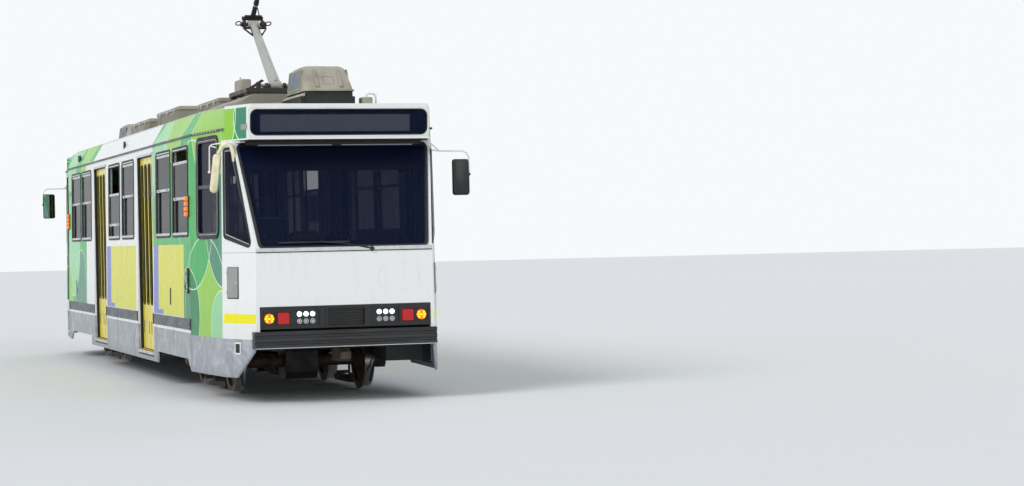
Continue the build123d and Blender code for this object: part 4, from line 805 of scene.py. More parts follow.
def doorTrim():
    # trim, seals, sill ledge and step nosings of every doorway
    trim, steps = Shape(), Shape()
    low, middle, high = stepTable["heights"]
    for _, row, at in doorPlaces():
        half, edge = row[5], row[5] + 0.026
        for side in (-1, 1):
            trim.use(silver).block(at, side * (half + 0.030), side * (half + 0.004), -0.0275, -0.021, 0.350, 2.880)
            trim.use(black).block(at, side * (half + 0.004), side * (half - 0.006), -0.0500, -0.0270, 0.384, 2.846)
        trim.use(silver).block(at, -half - 0.030, half + 0.030, -0.0275, -0.019, 2.850, 2.878)
        trim.use(black).block(at, -half, half, -0.105, -0.045, 2.846, 2.8495)
        trim.use(ledge).block(at, -edge, edge, -0.0275, 0.006, 0.338, 0.372)
        trim.use(darkIron).block(at, -edge, edge, -0.0275, 0.002, 0.316, 0.338)
        first, second = stepTable["cab" if row[7] == 1 else "double"]
        inner, riser = half + 0.006, stepTable["well"] - first
        edges = ((half, -0.032, low, 0.0), (inner, riser, middle, 0.030), (inner, riser - second, high, 0.030))
        for wide, y, z, thick in edges:
            steps.use(nosing).block(at, -wide, wide, y - 0.028, y + 0.0015, z - thick, z + 0.0028)
        steps.use(deskGrey)
        for y0, y1, z in ((-0.100, riser + 0.003, low), (riser - 0.030, riser - second + 0.003, middle)):
            for k in range(stepTable["ribs"]):
                y = y0 + (y1 - y0) * (k + 0.5) / stepTable["ribs"]
                steps.block(at, -inner + 0.02, inner - 0.02, y - 0.008, y + 0.008, z, z + 0.0025)
    trim.piece("doorway_trim", slot="window_metal", bevel=0.0012)
    steps.piece("step_nosings", slot="floor_covering")


windowTable = {
    "half": 0.525, "low": 1.815, "high": 2.845, "radius": 0.060, "face": 0.028, "rail": 0.034, "transom": 2.360,
    # centre along the left side, how far the upper sash is lowered
    "places": [(3.3725, 0.0), (4.5775, 0.0), (0.5125, 0.366), (-0.7525, 0.0), (-3.6125, 0.0), (-4.8175, 0.125)],
    "driver": (0.330, 1.165, 0.937, 2.016), "driverRadius": 0.090, "driverRail": (1.468, 1.506),
}


def windowTrim():
    # rubber round each saloon window, bright rails and catches on the sashes
    t = windowTable
    s = Shape()
    low, high, r, inner = t["low"] - base, t["high"] - base, t["radius"], t["half"] - t["face"]
    for u, drop in t["places"]:
        opening = (u - t["half"], u + t["half"], low, high)
        s.use(black).hoop(leftWall, grown(opening, 0.014, r), grown(opening, -0.010, r), 0.0005, 0.0075, 0.001)
        s.hoop(leftWall, grown(opening, -0.026, r + 0.002), grown(opening, -0.038, r + 0.002), -0.0115, 0.0052)
        foot = rect(u - inner + 0.004, u + inner - 0.004, low + 0.012, low + 0.040, 0.005, 2)
        s.use(silver).slab(leftWall, foot, 0.002, 0.0085, 0.002)
        sash, top = t["transom"] - base - drop, high - t["face"] - drop - 0.006
        for h in (sash, top - t["rail"]):
            bar = rect(u - inner + 0.011, u + inner - 0.011, h + 0.001, h + t["rail"] - 0.001, 0.005, 2)
            s.slab(leftWall, bar, -0.004, 0.0, 0.002)
        for side in (-1, 1):
            edge, catch = u + side * (inner - 0.014), u + side * 0.30
            s.use(silver).block(leftWall, edge, edge - side * 0.012, -0.0055, -0.0030, sash + 0.03, top - 0.03)
            grip = rect(catch - 0.022, catch + 0.022, sash + 0.010, sash + 0.026, 0.006, 2)
            s.use(blackPlastic).slab(leftWall, grip, -0.001, 0.006, 0.002)
    s.alsoTurned().piece("window_trim", slot="window_metal")


def driverWindowTrim():
    # thick black surround of the driver's window, with a second lip inside
    opening, r = windowTable["driver"], windowTable["driverRadius"]
    s = Shape()
    lips = ((black, 0.030, -0.012, 0.0005, 0.013, -0.002), (blackPlastic, -0.020, -0.038, -0.012, 0.008, 0),
            (silver, -0.014, -0.020, -0.002, 0.0105, 0))
    for finish, out, into, y0, y1, crown in lips:
        s.use(finish).hoop(rightTaper, grown(opening, out, r, 8), grown(opening, into, r, 8), y0, y1, crown)
    bar = rect(opening[0] + 0.030, opening[1] - 0.030, *windowTable["driverRail"], 0.004, 2)
    s.use(blackPlastic).slab(rightTaper, bar, -0.006, 0.004, 0.002)
    s.alsoTurned().piece("driver_window_trim", slot="dark_frame")


sideTable = {
    # x and height above the rail on the photographed side
    "markers": [(5.36, 2.15), (-5.40, 2.12)], "louvres": [(4.10, 1.10), (-4.60, 1.10)], "control": (5.33, 1.30),
    "bandEnds": [1.310, 2.586, -2.826, -1.550, 5.447, -5.447], "rivets": 9,
}


def markerLamp(s, place):
    # stack of amber cells on a dark foot
    s.use(blackPlastic).slab(place, plate(0.052, 0.125, 0.016, 4), -0.001, 0.014, 0.003)
    s.use(amberLens)
    wide = plate(0.021, 0.025, 0.012, 4)
    for z in (-0.090, -0.030, 0.030, 0.090):
        for x in (-0.024, 0.024):
            s.stack(place @ moved(x, 0, z), [(wide, 0.012), (wide, 0.034), (plate(0.016, 0.019, 0.010, 4), 0.046)])


def onSide(x, z):
    return rightWall @ moved(-x, 0, z - base)


def sideFittings():
    # marker lamps, small louvred vents and the outside door control
    s = Shape()
    for x, z in sideTable["markers"]:
        markerLamp(s, onSide(x, z))
    for x, z in sideTable["louvres"]:
        s.use(darkIron).slab(onSide(x, z), plate(0.034, 0.100, 0.006, 2), -0.001, 0.003)
        s.use(hoodDark).louvres(onSide(x, z), -0.028, 0.028, 0.003, 0.009, -0.086, 0.003, 0.0165, 11)
    at = onSide(*sideTable["control"])
    s.use(blackPlastic).slab(at, plate(0.038, 0.150, 0.012, 4), -0.001, 0.018, 0.004)
    s.use(silver).slab(at, rect(-0.024, 0.024, -0.120, -0.040, 0.008, 3), 0.017, 0.024, 0.003)
    handle = [(-0.016, 0.024, -0.105), (-0.010, 0.038, -0.080), (0.014, 0.038, -0.060), (0.018, 0.024, -0.050)]
    s.use(black).pipe(at, handle, 0.006, 8)
    s.use(silver).hoop(at, circle(0, 0.040, 0.024), circle(0, 0.040, 0.015), 0.017, 0.025)
    s.use(redLens).slab(at, circle(0, 0.040, 0.015), 0.016, 0.023, 0.003)
    s.use(amberLens).slab(at, circle(0, 0.105, 0.012), 0.016, 0.023, 0.003)
    s.alsoTurned().piece("side_fittings", slot="lamp_lens")


def bandEnds():
    # dark end pieces of the rub band beside the doors, bright clips in the strip over the driver's window
    s = Shape()
    for k, x in enumerate(sideTable["bandEnds"]):
        half = 0.018 if k < 4 else 0.022
        s.use(black).slab(leftWall, rect(x - half, x + half, -0.129, 0.002, 0.006, 2), 0.003, 0.011, 0.002)
        for z in (-0.035, -0.095):
            s.use(silver).bolt(leftWall @ moved(0, 0.011, 0), x, z, 0.006)
    for wall in (leftTaper, rightTaper):
        s.use(silver)
        for k in range(sideTable["rivets"]):
            u = 0.20 + k * 0.115
            s.slab(wall, rect(u, u + 0.045, 2.0865, 2.0985, 0.004, 2), 0.0155, 0.0195, 0.001)
        s.use(blackPlastic).block(wall, 0.10, 1.30, 0.0150, 0.0172, 2.0825, 2.1030)
    s.alsoTurned().piece("band_ends", slot="moulding_grey")


joints = {
    # x of each cover on the left side and its foot below the rub band; rivets' pitch and how far they run
    "covers": [(5.455, -0.595), (4.02, -0.455), (2.75, -0.595), (-1.20, -0.595), (0.30, -0.595), (1.18, -0.595),
               (-3.00, -0.595), (-4.30, -0.455), (-5.455, -0.595)], "pitch": 0.24, "run": 5.28,
}


def panelSeams():
    # fine raised covers of the panel joints and rows of rivets on the lower panels
    wall = leftWall @ turnX(-body["lean"])
    s = Shape().use(greyPaint)
    for u, low in joints["covers"]:
        s.block(wall, u - 0.006, u + 0.006, -0.004, 0.0022, low, -0.131)
    s.use(silver)
    for x in (k * joints["pitch"] - joints["run"] for k in range(45)):
        if all(abs(x - row[2]) >= 0.67 for row in doorways[:2]):
            s.bolt(wall, x, -0.150, 0.0045, 0.003)
    s.alsoTurned().piece("panel_joints", slot="skirt_grey")


doors()
doorTrim()
windowTrim()
driverWindowTrim()
sideFittings()
bandEnds()
panelSeams()
print("sides dressed")

hood = {"back": 5.60, "front": 6.60, "right": -0.20, "left": 0.37, "foot": 3.39, "top": 3.69, "middle": 0.085,
        "frontLean": 0.28, "backLean": 0.15, "sideLean": 0.035, "tray": 3.33, "grille": (-0.345, 0.245)}


def hoodRing(t, inset, radius):
    h = hood
    return rect(h["back"] + h["backLean"] * t + inset, h["front"] - h["frontLean"] * t - inset,
                h["right"] + h["sideLean"] * t + inset, h["left"] - h["sideLean"] * t - inset, radius, 4)


def airConditioner():
    # moulded hood with grilles at its sides and recessed panels in its raked front
    h = hood
    foot, back, right, left = h["foot"], h["back"], h["right"], h["left"]
    high = h["top"] - foot
    s = Shape().use(black).block(onRail, back - 0.018, h["front"] + 0.012, right + 0.004, left - 0.004, 3.225, h["tray"])
    s.block(onRail, back + 0.022, h["front"] - 0.022, right + 0.022, left - 0.022, 3.30, foot + 0.010)
    rings = ((0.0, 0.008, 0.070, 0.0), (0.03, 0.0, 0.078, 0.010), (0.84, 0.0, 0.084, 0.252), (0.93, 0.012, 0.084, 0.279),
             (1.0, 0.045, 0.070, high))
    s.use(hoodPlastic).stack(plan, [(hoodRing(t, inset, r), foot + z) for t, inset, r, z in rings])
    s.hoop(plan, hoodRing(0.0, -0.008, 0.080), hoodRing(0.0, 0.010, 0.066), foot + 0.002, foot + 0.016)
    s.louvres(onRail, back, h["front"], right, right - 0.056, 3.335, 0.037)  # ledge on the driver's side
    s.use(black).block(onRail, back, h["front"], right - 0.050, right + 0.010, 3.225, 3.332)
    for side, y in ((-1, right), (1, left)):
        place = moved(6.08, y, foot + rail) @ facing[side] @ turnX(math.atan2(h["sideLean"], high))
        x0, x1 = sorted(side * x for x in h["grille"])
        s.use(hoodPlastic).hoop(place, rect(x0 - 0.022, x1 + 0.022, 0.028, 0.262, 0.03, 4),
                                rect(x0, x1, 0.045, 0.245, 0.016, 4), -0.002, 0.009)
        s.use(grilleBlue).slab(place, rect(x0, x1, 0.045, 0.245), -0.002, 0.0015)
        s.louvres(place, x0, x1, 0.001, 0.0075, 0.054, 0.0055, 0.0128, 15)
    face = ahead(h["front"], h["middle"], foot, math.atan2(h["frontLean"], high))
    for x in (-0.140, 0.133):
        rib = [(x - 0.0175, 0.055), (x + 0.0175, 0.055), (x + 0.010, 0.355), (x - 0.010, 0.355)]
        s.use(hoodPlastic).slab(face, rib, -0.004, 0.018, 0.004)
    hatch = (-0.071, 0.053, 0.110, 0.235)
    s.use(hoodDark).hoop(face, grown(hatch, 0, 0.010, 3), grown(hatch, -0.003, 0.011, 3), -0.002, 0.0018)
    for x, z in rect(-0.060, 0.042, 0.121, 0.224):
        s.use(silver).bolt(face, x, z, 0.005, 0.003)
    rear = astern(back, h["middle"], foot, math.atan2(h["backLean"], high))
    s.use(grilleBlue).slab(rear, rect(-0.19, 0.19, 0.07, 0.25, 0.02, 3), -0.002, 0.004)
    s.use(hoodDark).bars(rear, -0.17, 0.17, 0.003, 0.008, 0.086, 0.007, 0.018, 9)
    for k in range(6):
        at = plan @ moved(5.66 + k * 0.176, 0, right - 0.030)
        s.use(silver).lathe(at, [(0.007, 3.348), (0.007, 3.356), (0.004, 3.359)], 8)
    s.alsoTurned().piece("hoods", slot="roof_plastic", stands=("air_conditioners",))


roofTable = {
    # boxes: x0, x1, half width, top, louvres on its sides
    "boxes": [(-1.500, 0.300, 0.520, 3.600, True), (-3.600, -2.000, 0.560, 3.560, False),
              (1.400, 2.800, 0.450, 3.550, True)],
    "strips": (2.93, 3.30, 3.80, 4.70, 5.36), "conduits": ((0.30, 1.40), (-2.00, -1.50)),
    "vents": ((4.5, 0.10), (-0.2, 0.035)),  # x on the photographed side, half width
}


def roofGear():
    # lids, louvres and latches of the roof boxes, conduits, cable joints
    s = Shape()
    for x0, x1, half, top, slotted in roofTable["boxes"]:
        cover = (x0 - 0.012, x1 + 0.012, -half - 0.012, half + 0.012)
        s.use(hoodPlastic).lid(cover, 0.02, top - 0.036, top + 0.004, 0.042, top + 0.016)
        for side in (-1, 1):
            place = moved((x0 + x1) / 2, side * half, rail) @ facing[side]
            w = (x1 - x0) / 2 - 0.06
            if slotted:
                s.use(darkIron).block(place, -w, w, -0.002, 0.002, 3.375, top - 0.055)
                s.use(hoodPlastic).block(place, -w - 0.01, w + 0.01, 0.0, 0.012, 3.362, 3.380)
                count = int(w / 0.030)
                for x in (-w + 2 * w * k / count for k in range(count + 1)):
                    s.block(place, x - 0.010, x + 0.010, 0.000, 0.010, 3.370, top - 0.050)
            for x in (-w * 0.7, 0.0, w * 0.7):
                latch = rect(x - 0.018, x + 0.018, top - 0.070, top - 0.020, 0.005, 2)
                s.use(silver).slab(place, latch, 0.010, 0.017, 0.002)
    s.use(black)
    for y in (-0.30, -0.24, 0.30):
        s.pipe(onRail, [(2.79, y, 3.47), (2.95, y, 3.475), (3.20, y, 3.466), (3.50, y * 1.1, 3.462)], 0.014, 8)
    for x0, x1 in roofTable["conduits"]:
        for y in (-0.22, 0.0, 0.22):
            conduit = [(x0 - 0.01, y, 3.44), (x0 + 0.10, y, 3.40), (x1 - 0.10, y, 3.40), (x1 + 0.01, y, 3.44)]
            s.pipe(onRail, conduit, 0.016, 8)
    s.use(hoodDark)
    for x in roofTable["strips"]:
        s.slab(plan, rect(x - 0.020, x + 0.020, -0.430, 0.430, 0.005, 2), 3.436, 3.447)
    s.use(hoodPlastic).slab(plan, rect(-4.52, -4.02, -0.26, 0.26, 0.06, 4), 3.31, 3.375, 0.020)
    s.use(darkIron).slab(plan, rect(-4.40, -4.14, -0.15, 0.15, 0.04, 4), 3.372, 3.382, 0.004)
    s.piece("roof_gear", slot="roof_plastic", bevel=0.0015)


def roofFittings():
    # beside each hood: junction box with a conduit loop, lifting eyes, feed cable; small dark vents in the cove
    s = Shape().use(hoodPlastic).lid((6.40, 6.58, 0.46, 0.58), 0.015, 3.22, 3.315, 0.010, 3.325)
    loop = [(0.52, 3.31), (0.52, 3.345), (0.535, 3.365), (0.60, 3.365), (0.625, 3.345), (0.635, 3.20)]
    s.use(whitePaint).pipe(onRail, [(6.52, y, z) for y, z in loop], 0.012, 8)
    for y in (-1.08, 1.08):
        for x in (5.10, 3.40):
            eye = [(x - 0.03, y, 3.19), (x - 0.03, y, 3.245), (x + 0.03, y, 3.245), (x + 0.03, y, 3.19)]
            s.use(roofGrey).pipe(onRail, eye, 0.008, 6)
    s.use(hoodDark).pipe(onRail, [(5.58, 0.02, 3.30), (5.50, 0.02, 3.35), (5.42, 0.02, 3.44), (5.36, 0.02, 3.452)], 0.018, 8)
    s.alsoTurned().piece("roof_fittings", slot="roof_plastic")
    s = Shape().use(black)
    for x, w in roofTable["vents"]:
        s.slab(rightWall, rect(x - w, x + w, 3.035 - base, 3.135 - base, 0.012, 3), -0.055, -0.030, 0.003)
    s.alsoTurned().piece("cove_vents", slot="dark_frame")


panto = {"base": (4.14, 0, 3.62), "knuckle": (2.90, 0, 4.48), "head": (4.40, 0, 5.56), "rise": 0.100,
         "feet": [(x, y) for x in (3.460, 4.440) for y in (-0.380, 0.380)], "springs": (-0.150, 0.150)}


def along(a, b):
    # place at a with y towards b, x to the tram's left and z across, for bars in the middle plane
    way = (Vector(b) - Vector(a)).normalized()
    across = Vector((0, 1, 0))
    return onRail @ Matrix.Translation(a) @ Matrix((across, way, across.cross(way))).transposed().to_4x4()


def pantoBase():
    # ribbed insulators, springs, air cylinder, junction box and braids, on the car's roof
    s = Shape().use(insulator)
    rib = ((0.040, 0), (0.064, 0.004), (0.060, 0.009), (0.040, 0.012))
    ribs = [(r, 3.446 + k * 0.0185 + z) for k in range(4) for r, z in rib]
    for x, y in panto["feet"]:
        s.lathe(plan @ moved(x, 0, y), [(0.036, 3.440)] + ribs + [(0.036, 3.519)], 20)
    s.use(darkIron)
    for y in panto["springs"]:
        s.coil(onRail @ moved(4.215, y, 3.592) @ turnY(quarter) @ turnZ(quarter), 0.024, 0.0055, 10, 0.222)
        s.pipe(onRail, [(4.18, y, 3.592), (4.45, y, 3.592)], 0.007, 8)
        s.lathe(ahead(4.445, y, 3.592), [(0.030, -0.020), (0.030, 0.006), (0.012, 0.010)], 14)
    s.use(hoodPlastic).lid((3.58, 4.00, -0.395, -0.270), 0.012, 3.568, 3.700, 0.010, 3.712)
    s.use(silver).pipe(onRail, [(3.66, -0.335, 3.70), (3.66, -0.335, 3.755)], 0.009, 8)
    s.use(armGrey).lathe(ahead(3.71, 0.300, 3.600), [(0.036, -0.20), (0.044, -0.19), (0.044, 0.17), (0.036, 0.18)], 18)
    s.use(silver).pipe(onRail, [(3.88, 0.300, 3.600), (4.05, 0.300, 3.600)], 0.010, 8)
    s.use(darkIron).slab(plan, rect(3.45, 3.61, 0.235, 0.400, 0.012, 3), 3.560, 3.640)
    s.slab(ahead(0, 0, 0), [(0.40, 3.57), (0.34, 3.57), (0.205, 3.655), (0.235, 3.675)], 4.44, 4.46)
    for y in (-0.265, 0.265):
        braid = [(4.14, y, 3.60), (4.09, y, 3.545), (3.95, y * 1.05, 3.530), (3.85, y * 1.1, 3.448)]
        s.use(black).pipe(onRail, braid, 0.009, 8)
    for x in (3.44, 3.77, 4.10, 4.43):
        for y in (-0.400, 0.400):
            s.use(silver).lathe(plan @ moved(x, 0, y), [(0.011, 3.569), (0.011, 3.577), (0.007, 3.581)], 6)
    s.piece("panto_base_gear", slot="dark_frame")


def pantoLower():
    # creased box arm with a foot hub, a bracket below the knuckle and a cable along it
    foot, knuckle = Vector(panto["base"]), Vector(panto["knuckle"])
    place, length = along(foot, knuckle), (knuckle - foot).length
    s = Shape().use(armGrey)
    sizes = ((0.030, 0.066), (0.060, 0.078), (length - 0.10, 0.058), (length - 0.035, 0.050))
    s.stack(place, [(roundOff([(-r, 0), (0, -r), (r, 0), (0, r)], 0.010, 3), y) for y, r in sizes])
    for at, r, half in ((foot, 0.052, 0.070), (knuckle, 0.050, 0.074)):
        hub = [(r - 0.006, -half), (r, -half + 0.006), (r, half - 0.006), (r - 0.006, half)]
        s.lathe(onRail @ Matrix.Translation(at), hub)
    s.drum(onRail @ Matrix.Translation(foot), 0.022, -0.245, 0.245)
    s.use(darkIron)
    for y in (-0.110, 0.110):
        s.drum(onRail @ moved(foot.x, y, foot.z), 0.034, -0.018, 0.018)
    for side in (-1, 1):
        shape = ((0.030, -0.30), (0.066, -0.28), (0.150, -0.105), (0.150, -0.075), (0.040, -0.075))
        outer = [(side * x, length + y) for x, y in shape]
        cx, cy = side * 0.090, length - 0.150
        inner = [(cx + (x - cx) * 0.62, cy + (y - cy) * 0.62) for x, y in outer]
        s.hoop(place @ laidFlat, outer, inner, -0.010, 0.010)
        s.slab(place @ laidFlat, circle(side * 0.125, length - 0.095, 0.016, 14), 0.011, 0.020, 0.002)
    s.pipe(place, [(0.030, 0.12, -0.062), (0.026, length * 0.5, -0.056), (0.020, length - 0.16, -0.050)], 0.007, 6)
    s.piece("lower_arm", rides="pantograph_lower_arm", slot="arm_grey", stands=("pantograph_lower_arm",))


def pantoUpper():
    # black tube on its yoke, with the loops at the knuckle, collars and a shunt braid
    a, b = Vector(panto["knuckle"]), Vector(panto["head"])
    way = (b - a).normalized()
    start = a + Vector((-way.z, 0, way.x)) * panto["rise"]
    place, length = along(start, b), (b - start).length
    s = Shape().use(darkIron)
    for y, r in ((0.0, 0.037), (0.30, 0.0345), (length * 0.6, 0.0335), (length - 0.06, 0.034)):
        s.lathe(place @ moved(0, y, 0), [(r - 0.003, -0.010), (r, -0.006), (r, 0.030), (r - 0.003, 0.034)], 18)
    for side in (-1, 1):
        loop = [(0.034 * math.cos(t), 0.034 * math.sin(t), 0.020 * math.cos(t)) for t in around(18)]
        s.pipe(onRail @ moved(a.x, side * 0.192, a.z + 0.012), loop, 0.0075, 8, True)
        s.drum(onRail @ moved(a.x, side * 0.150, a.z), 0.030, -0.012, 0.012)
        s.block(place @ moved(side * 0.06, 0, 0), -0.045, 0.055, -0.016, 0.055, -0.012, 0.012)
    braid = [(a.x, 0.165, a.z - 0.02), (a.x - 0.05, 0.16, a.z + 0.03), (start.x - 0.04, 0.10, start.z + 0.02),
             (start.x + way.x * 0.2, 0.036, start.z + way.z * 0.2)]
    s.use(black).pipe(onRail, braid, 0.007, 6)
    for t in (0.15, 0.45, 0.75):
        collar = [(0.0325, -0.006), (0.0350, -0.004), (0.0350, 0.004), (0.0325, 0.006)]
        s.use(silver).lathe(place @ moved(0, length * t, 0), collar, 16)
    s.piece("upper_arm_gear", rides="pantograph_upper_arm", slot="dark_frame")


def pantoHead():
    # carbon strips, their clamps, springs on the cradle and shunts
    x, _, z = panto["head"]
    s = Shape()
    for way in (-0.18, 0.18):
        strip = [(-0.50, z + 0.048), (0.50, z + 0.048), (0.49, z + 0.0565), (-0.49, z + 0.0565)]
        s.use(carbon).slab(astern(x + way, 0, 0), strip, -0.017, 0.017)
        for y in (-0.46, -0.23, 0.0, 0.23, 0.46):
            clamp = rect(y - 0.012, y + 0.012, z + 0.030, z + 0.050, 0.003, 2)
            s.use(silver).slab(astern(x + way, 0, 0), clamp, -0.0305, 0.0305)
        for y in (-0.324, 0.324):
            s.use(darkIron).coil(onRail @ moved(x + way, y, z - 0.024), 0.017, 0.0040, 5, 0.054)
    for y in (-0.26, 0.26):
        shunt = [(x - 0.17, y, z + 0.020), (x - 0.08, y, z - 0.035), (x + 0.08, y, z - 0.035), (x + 0.17, y, z + 0.020)]
        s.use(black).pipe(onRail, shunt, 0.006, 6)
    s.piece("head_strips", rides="pantograph_head", slot="dark_frame")


mirrorTable = {
    "oval": (6.985, -1.293, 2.475), "tilt": math.radians(-7), "square": (7.085, 1.440, 2.400),
    # half width, half height, corner radius and y of each ring, from the back forward
    "ovalRings": [(0.025, 0.185, 0.023, 0.030), (0.039, 0.207, 0.038, 0.018), (0.045, 0.214, 0.044, 0.0),
                  (0.045, 0.214, 0.044, -0.022)],
    "squareRings": [(0.075, 0.180, 0.024, 0.028), (0.092, 0.197, 0.030, 0.016), (0.095, 0.200, 0.030, 0.0),
                    (0.095, 0.200, 0.030, -0.022)],
    "bracket": [(7.050, -1.100, 2.60), (7.050, -1.110, 2.70), (7.045, -1.130, 2.765), (7.030, -1.170, 2.795),
                (7.010, -1.215, 2.775), (6.990, -1.262, 2.685)],
    "rod": [(7.150, -1.00, 2.805), (7.080, -1.11, 2.806), (7.000, -1.22, 2.800), (6.975, -1.33, 2.785),
            (6.968, -1.352, 2.760), (6.965, -1.356, 2.50)],
    "arm": [(7.100, 1.00, 2.812), (7.100, 1.060, 2.800), (7.100, 1.075, 2.745), (7.100, 1.115, 2.700), (7.100, 1.20, 2.690),
            (7.100, 1.455, 2.690), (7.100, 1.505, 2.665), (7.100, 1.528, 2.62), (7.098, 1.534, 2.44)],
}


def mirrorsPiece():
    # cream oval mirror on the driver's side, black square one on a white arm on the door side
    t = mirrorTable
    s = Shape()
    at = ahead(*t["oval"]) @ turnY(t["tilt"])
    s.use(creamShell).stack(at, [(plate(w, h, r, 6), y) for w, h, r, y in t["ovalRings"]])
    s.use(black).hoop(at, plate(0.046, 0.215, 0.045, 6), plate(0.037, 0.206, 0.036, 6), -0.028, -0.018)
    s.use(mirrorGlass).slab(at, plate(0.039, 0.208, 0.038, 6), -0.024, -0.014)
    s.use(creamShell).pipe(onRail, t["bracket"], [0.022, 0.024, 0.025, 0.025, 0.024, 0.020], 12)
    s.use(whitePaint).pipe(onRail, t["rod"], 0.0075, 8)
    s.pipe(onRail, [(6.97, -1.345, 2.772), (6.985, -1.285, 2.752)], 0.007, 8)
    ball = [(0.004, -0.016), (0.014, -0.009), (0.016, 0.0), (0.014, 0.009), (0.004, 0.016)]
    s.lathe(standing(6.965, -1.358, 2.49), ball, 14)
    at = ahead(*t["square"])
    s.use(blackPlastic).stack(at, [(plate(w, h, r, 5), y) for w, h, r, y in t["squareRings"]])
    s.use(black).hoop(at, plate(0.096, 0.201, 0.031, 5), plate(0.084, 0.189, 0.020, 5), -0.028, -0.018)
    s.use(mirrorGlass).slab(at, plate(0.086, 0.191, 0.022, 5), -0.024, -0.014)
    s.use(whitePaint).pipe(onRail, t["arm"], 0.009, 8)
    s.pipe(onRail, [(7.100, 1.065, 2.800), (7.100, 1.185, 2.695)], 0.008, 8)
    ball = [(0.004, -0.016), (0.013, -0.009), (0.016, 0.0), (0.013, 0.009), (0.004, 0.016)]
    s.use(black).lathe(standing(7.098, 1.533, 2.430), ball, 14)
    s.alsoTurned().piece("mirror_sets", slot="mirror_shell", stands=("mirrors",))


airConditioner()
roofGear()
roofFittings()
pantoBase()
pantoLower()
pantoUpper()
pantoHead()
mirrorsPiece()
print("roof and mirrors dressed")


seats = {
    # middle of each row on the left side with the way it faces
    "rows": [(4.66, -1), (3.86, 1), (3.08, -1), (0.88, -1), (0.14, 1), (-0.62, -1), (-3.42, 1), (-4.12, -1), (-4.92, 1)],
    "places": (0.56625, 1.00875),  # across the car, window seat last
    "pad": (0.395, 0.4325, 0.080), "back": (0.0496, 0.4325, 0.450),
    "driverPad": (0.420, 0.440, 0.090), "driverBack": (0.0560, 0.420, 0.580),
    "pressure": 4.0, "swell": 0.010, "grid": 0.030, "fill": 0.6, "inset": 0.006, "frames": 20,
}


def padMesh(size, radius, grid, crown):
    # rounded block on an even grid, centred; crown lifts the middle of its two broad faces
    wide = [n / 2 for n in size]
    thin = min(range(3), key=lambda a: size[a])
    a, b = [w for w in range(3) if w != thin]
    count = [max(3, round(n / grid)) for n in size]
    count[thin] = 3
    mesh = bmesh.new()

    def corner(axis, side, u, v, i, j):
        p = Vector((0.0, 0.0, 0.0))
        p[axis], p[u], p[v] = side * wide[axis], (2 * i / count[u] - 1) * wide[u], (2 * j / count[v] - 1) * wide[v]
        core = Vector([max(-(w - radius), min(w - radius, q)) for q, w in zip(p, wide)])
        q = core + (p - core).normalized() * radius
        lift = max(0.0, 1 - (q[a] / wide[a]) ** 2) * max(0.0, 1 - (q[b] / wide[b]) ** 2)
        q[thin] *= 1 + crown * lift ** 0.5
        return mesh.verts.new(q)

    for axis in range(3):
        u, v = [w for w in range(3) if w != axis]
        for side in (-1, 1):
            rows = [[corner(axis, side, u, v, i, j) for j in range(count[v] + 1)] for i in range(count[u] + 1)]
            for i in range(count[u]):
                for j in range(count[v]):
                    mesh.faces.new((rows[i][j], rows[i + 1][j], rows[i + 1][j + 1], rows[i][j + 1]))
    bmesh.ops.remove_doubles(mesh, verts=mesh.verts[:], dist=1e-5)
    bmesh.ops.recalc_face_normals(mesh, faces=mesh.faces[:])
    data = bpy.data.meshes.new("pad")
    mesh.to_mesh(data)
    mesh.free()
    return data


def swollen(name, size):
    # a pad a little smaller than its place, swelled by a cloth simulation and held inside the place
    data = padMesh([n - 2 * seats["inset"] for n in size], min(size) * 0.36, seats["grid"], 0.05)
    before = [v.co.copy() for v in data.vertices]
    scene = bpy.context.scene
    obj = bpy.data.objects.new(name, data)
    scene.collection.objects.link(obj)
    cloth = obj.modifiers.new("cloth", "CLOTH")
    cloth.settings.use_pressure = True
    cloth.settings.uniform_pressure_force = seats["pressure"]
    cloth.settings.effector_weights.gravity = 0.0
    cloth.settings.quality = 5
    cloth.point_cache.frame_start, cloth.point_cache.frame_end = 1, seats["frames"]
    for frameNumber in range(1, seats["frames"] + 1):
        scene.frame_set(frameNumber)
    settled = obj.evaluated_get(bpy.context.evaluated_depsgraph_get()).to_mesh()
    after = [v.co.copy() for v in settled.vertices]
    bpy.data.objects.remove(obj)
    scene.frame_set(1)
    half = [n / 2 + 0.001 for n in size]
    farthest = max((b - a).length for a, b in zip(before, after))
    share = min(1.0, seats["swell"] / farthest)
    print(name, "swelled", round(1000 * farthest), "mm, held to", round(1000 * farthest * share), "mm")
    for v, a, b in zip(data.vertices, before, after):
        v.co = [max(-h, min(h, q)) for q, h in zip(a + (b - a) * share, half)]
    return data


def padPiece(name, parts, finish):
    # all pads of one kind joined: mesh and place of each
    s = Shape().use(finish)
    for data, place in parts:
        start = len(s.mesh.verts)
        s.mesh.from_mesh(data)
        s.mesh.verts.ensure_lookup_table()
        bmesh.ops.transform(s.mesh, matrix=place, verts=s.mesh.verts[start:])
    bmesh.ops.recalc_face_normals(s.mesh, faces=s.mesh.faces[:])
    obj = s.linked(name)
    smooth = obj.modifiers.new("smooth", "SUBSURF")
    smooth.levels = smooth.render_levels = 1
    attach(obj, "car")
    return obj


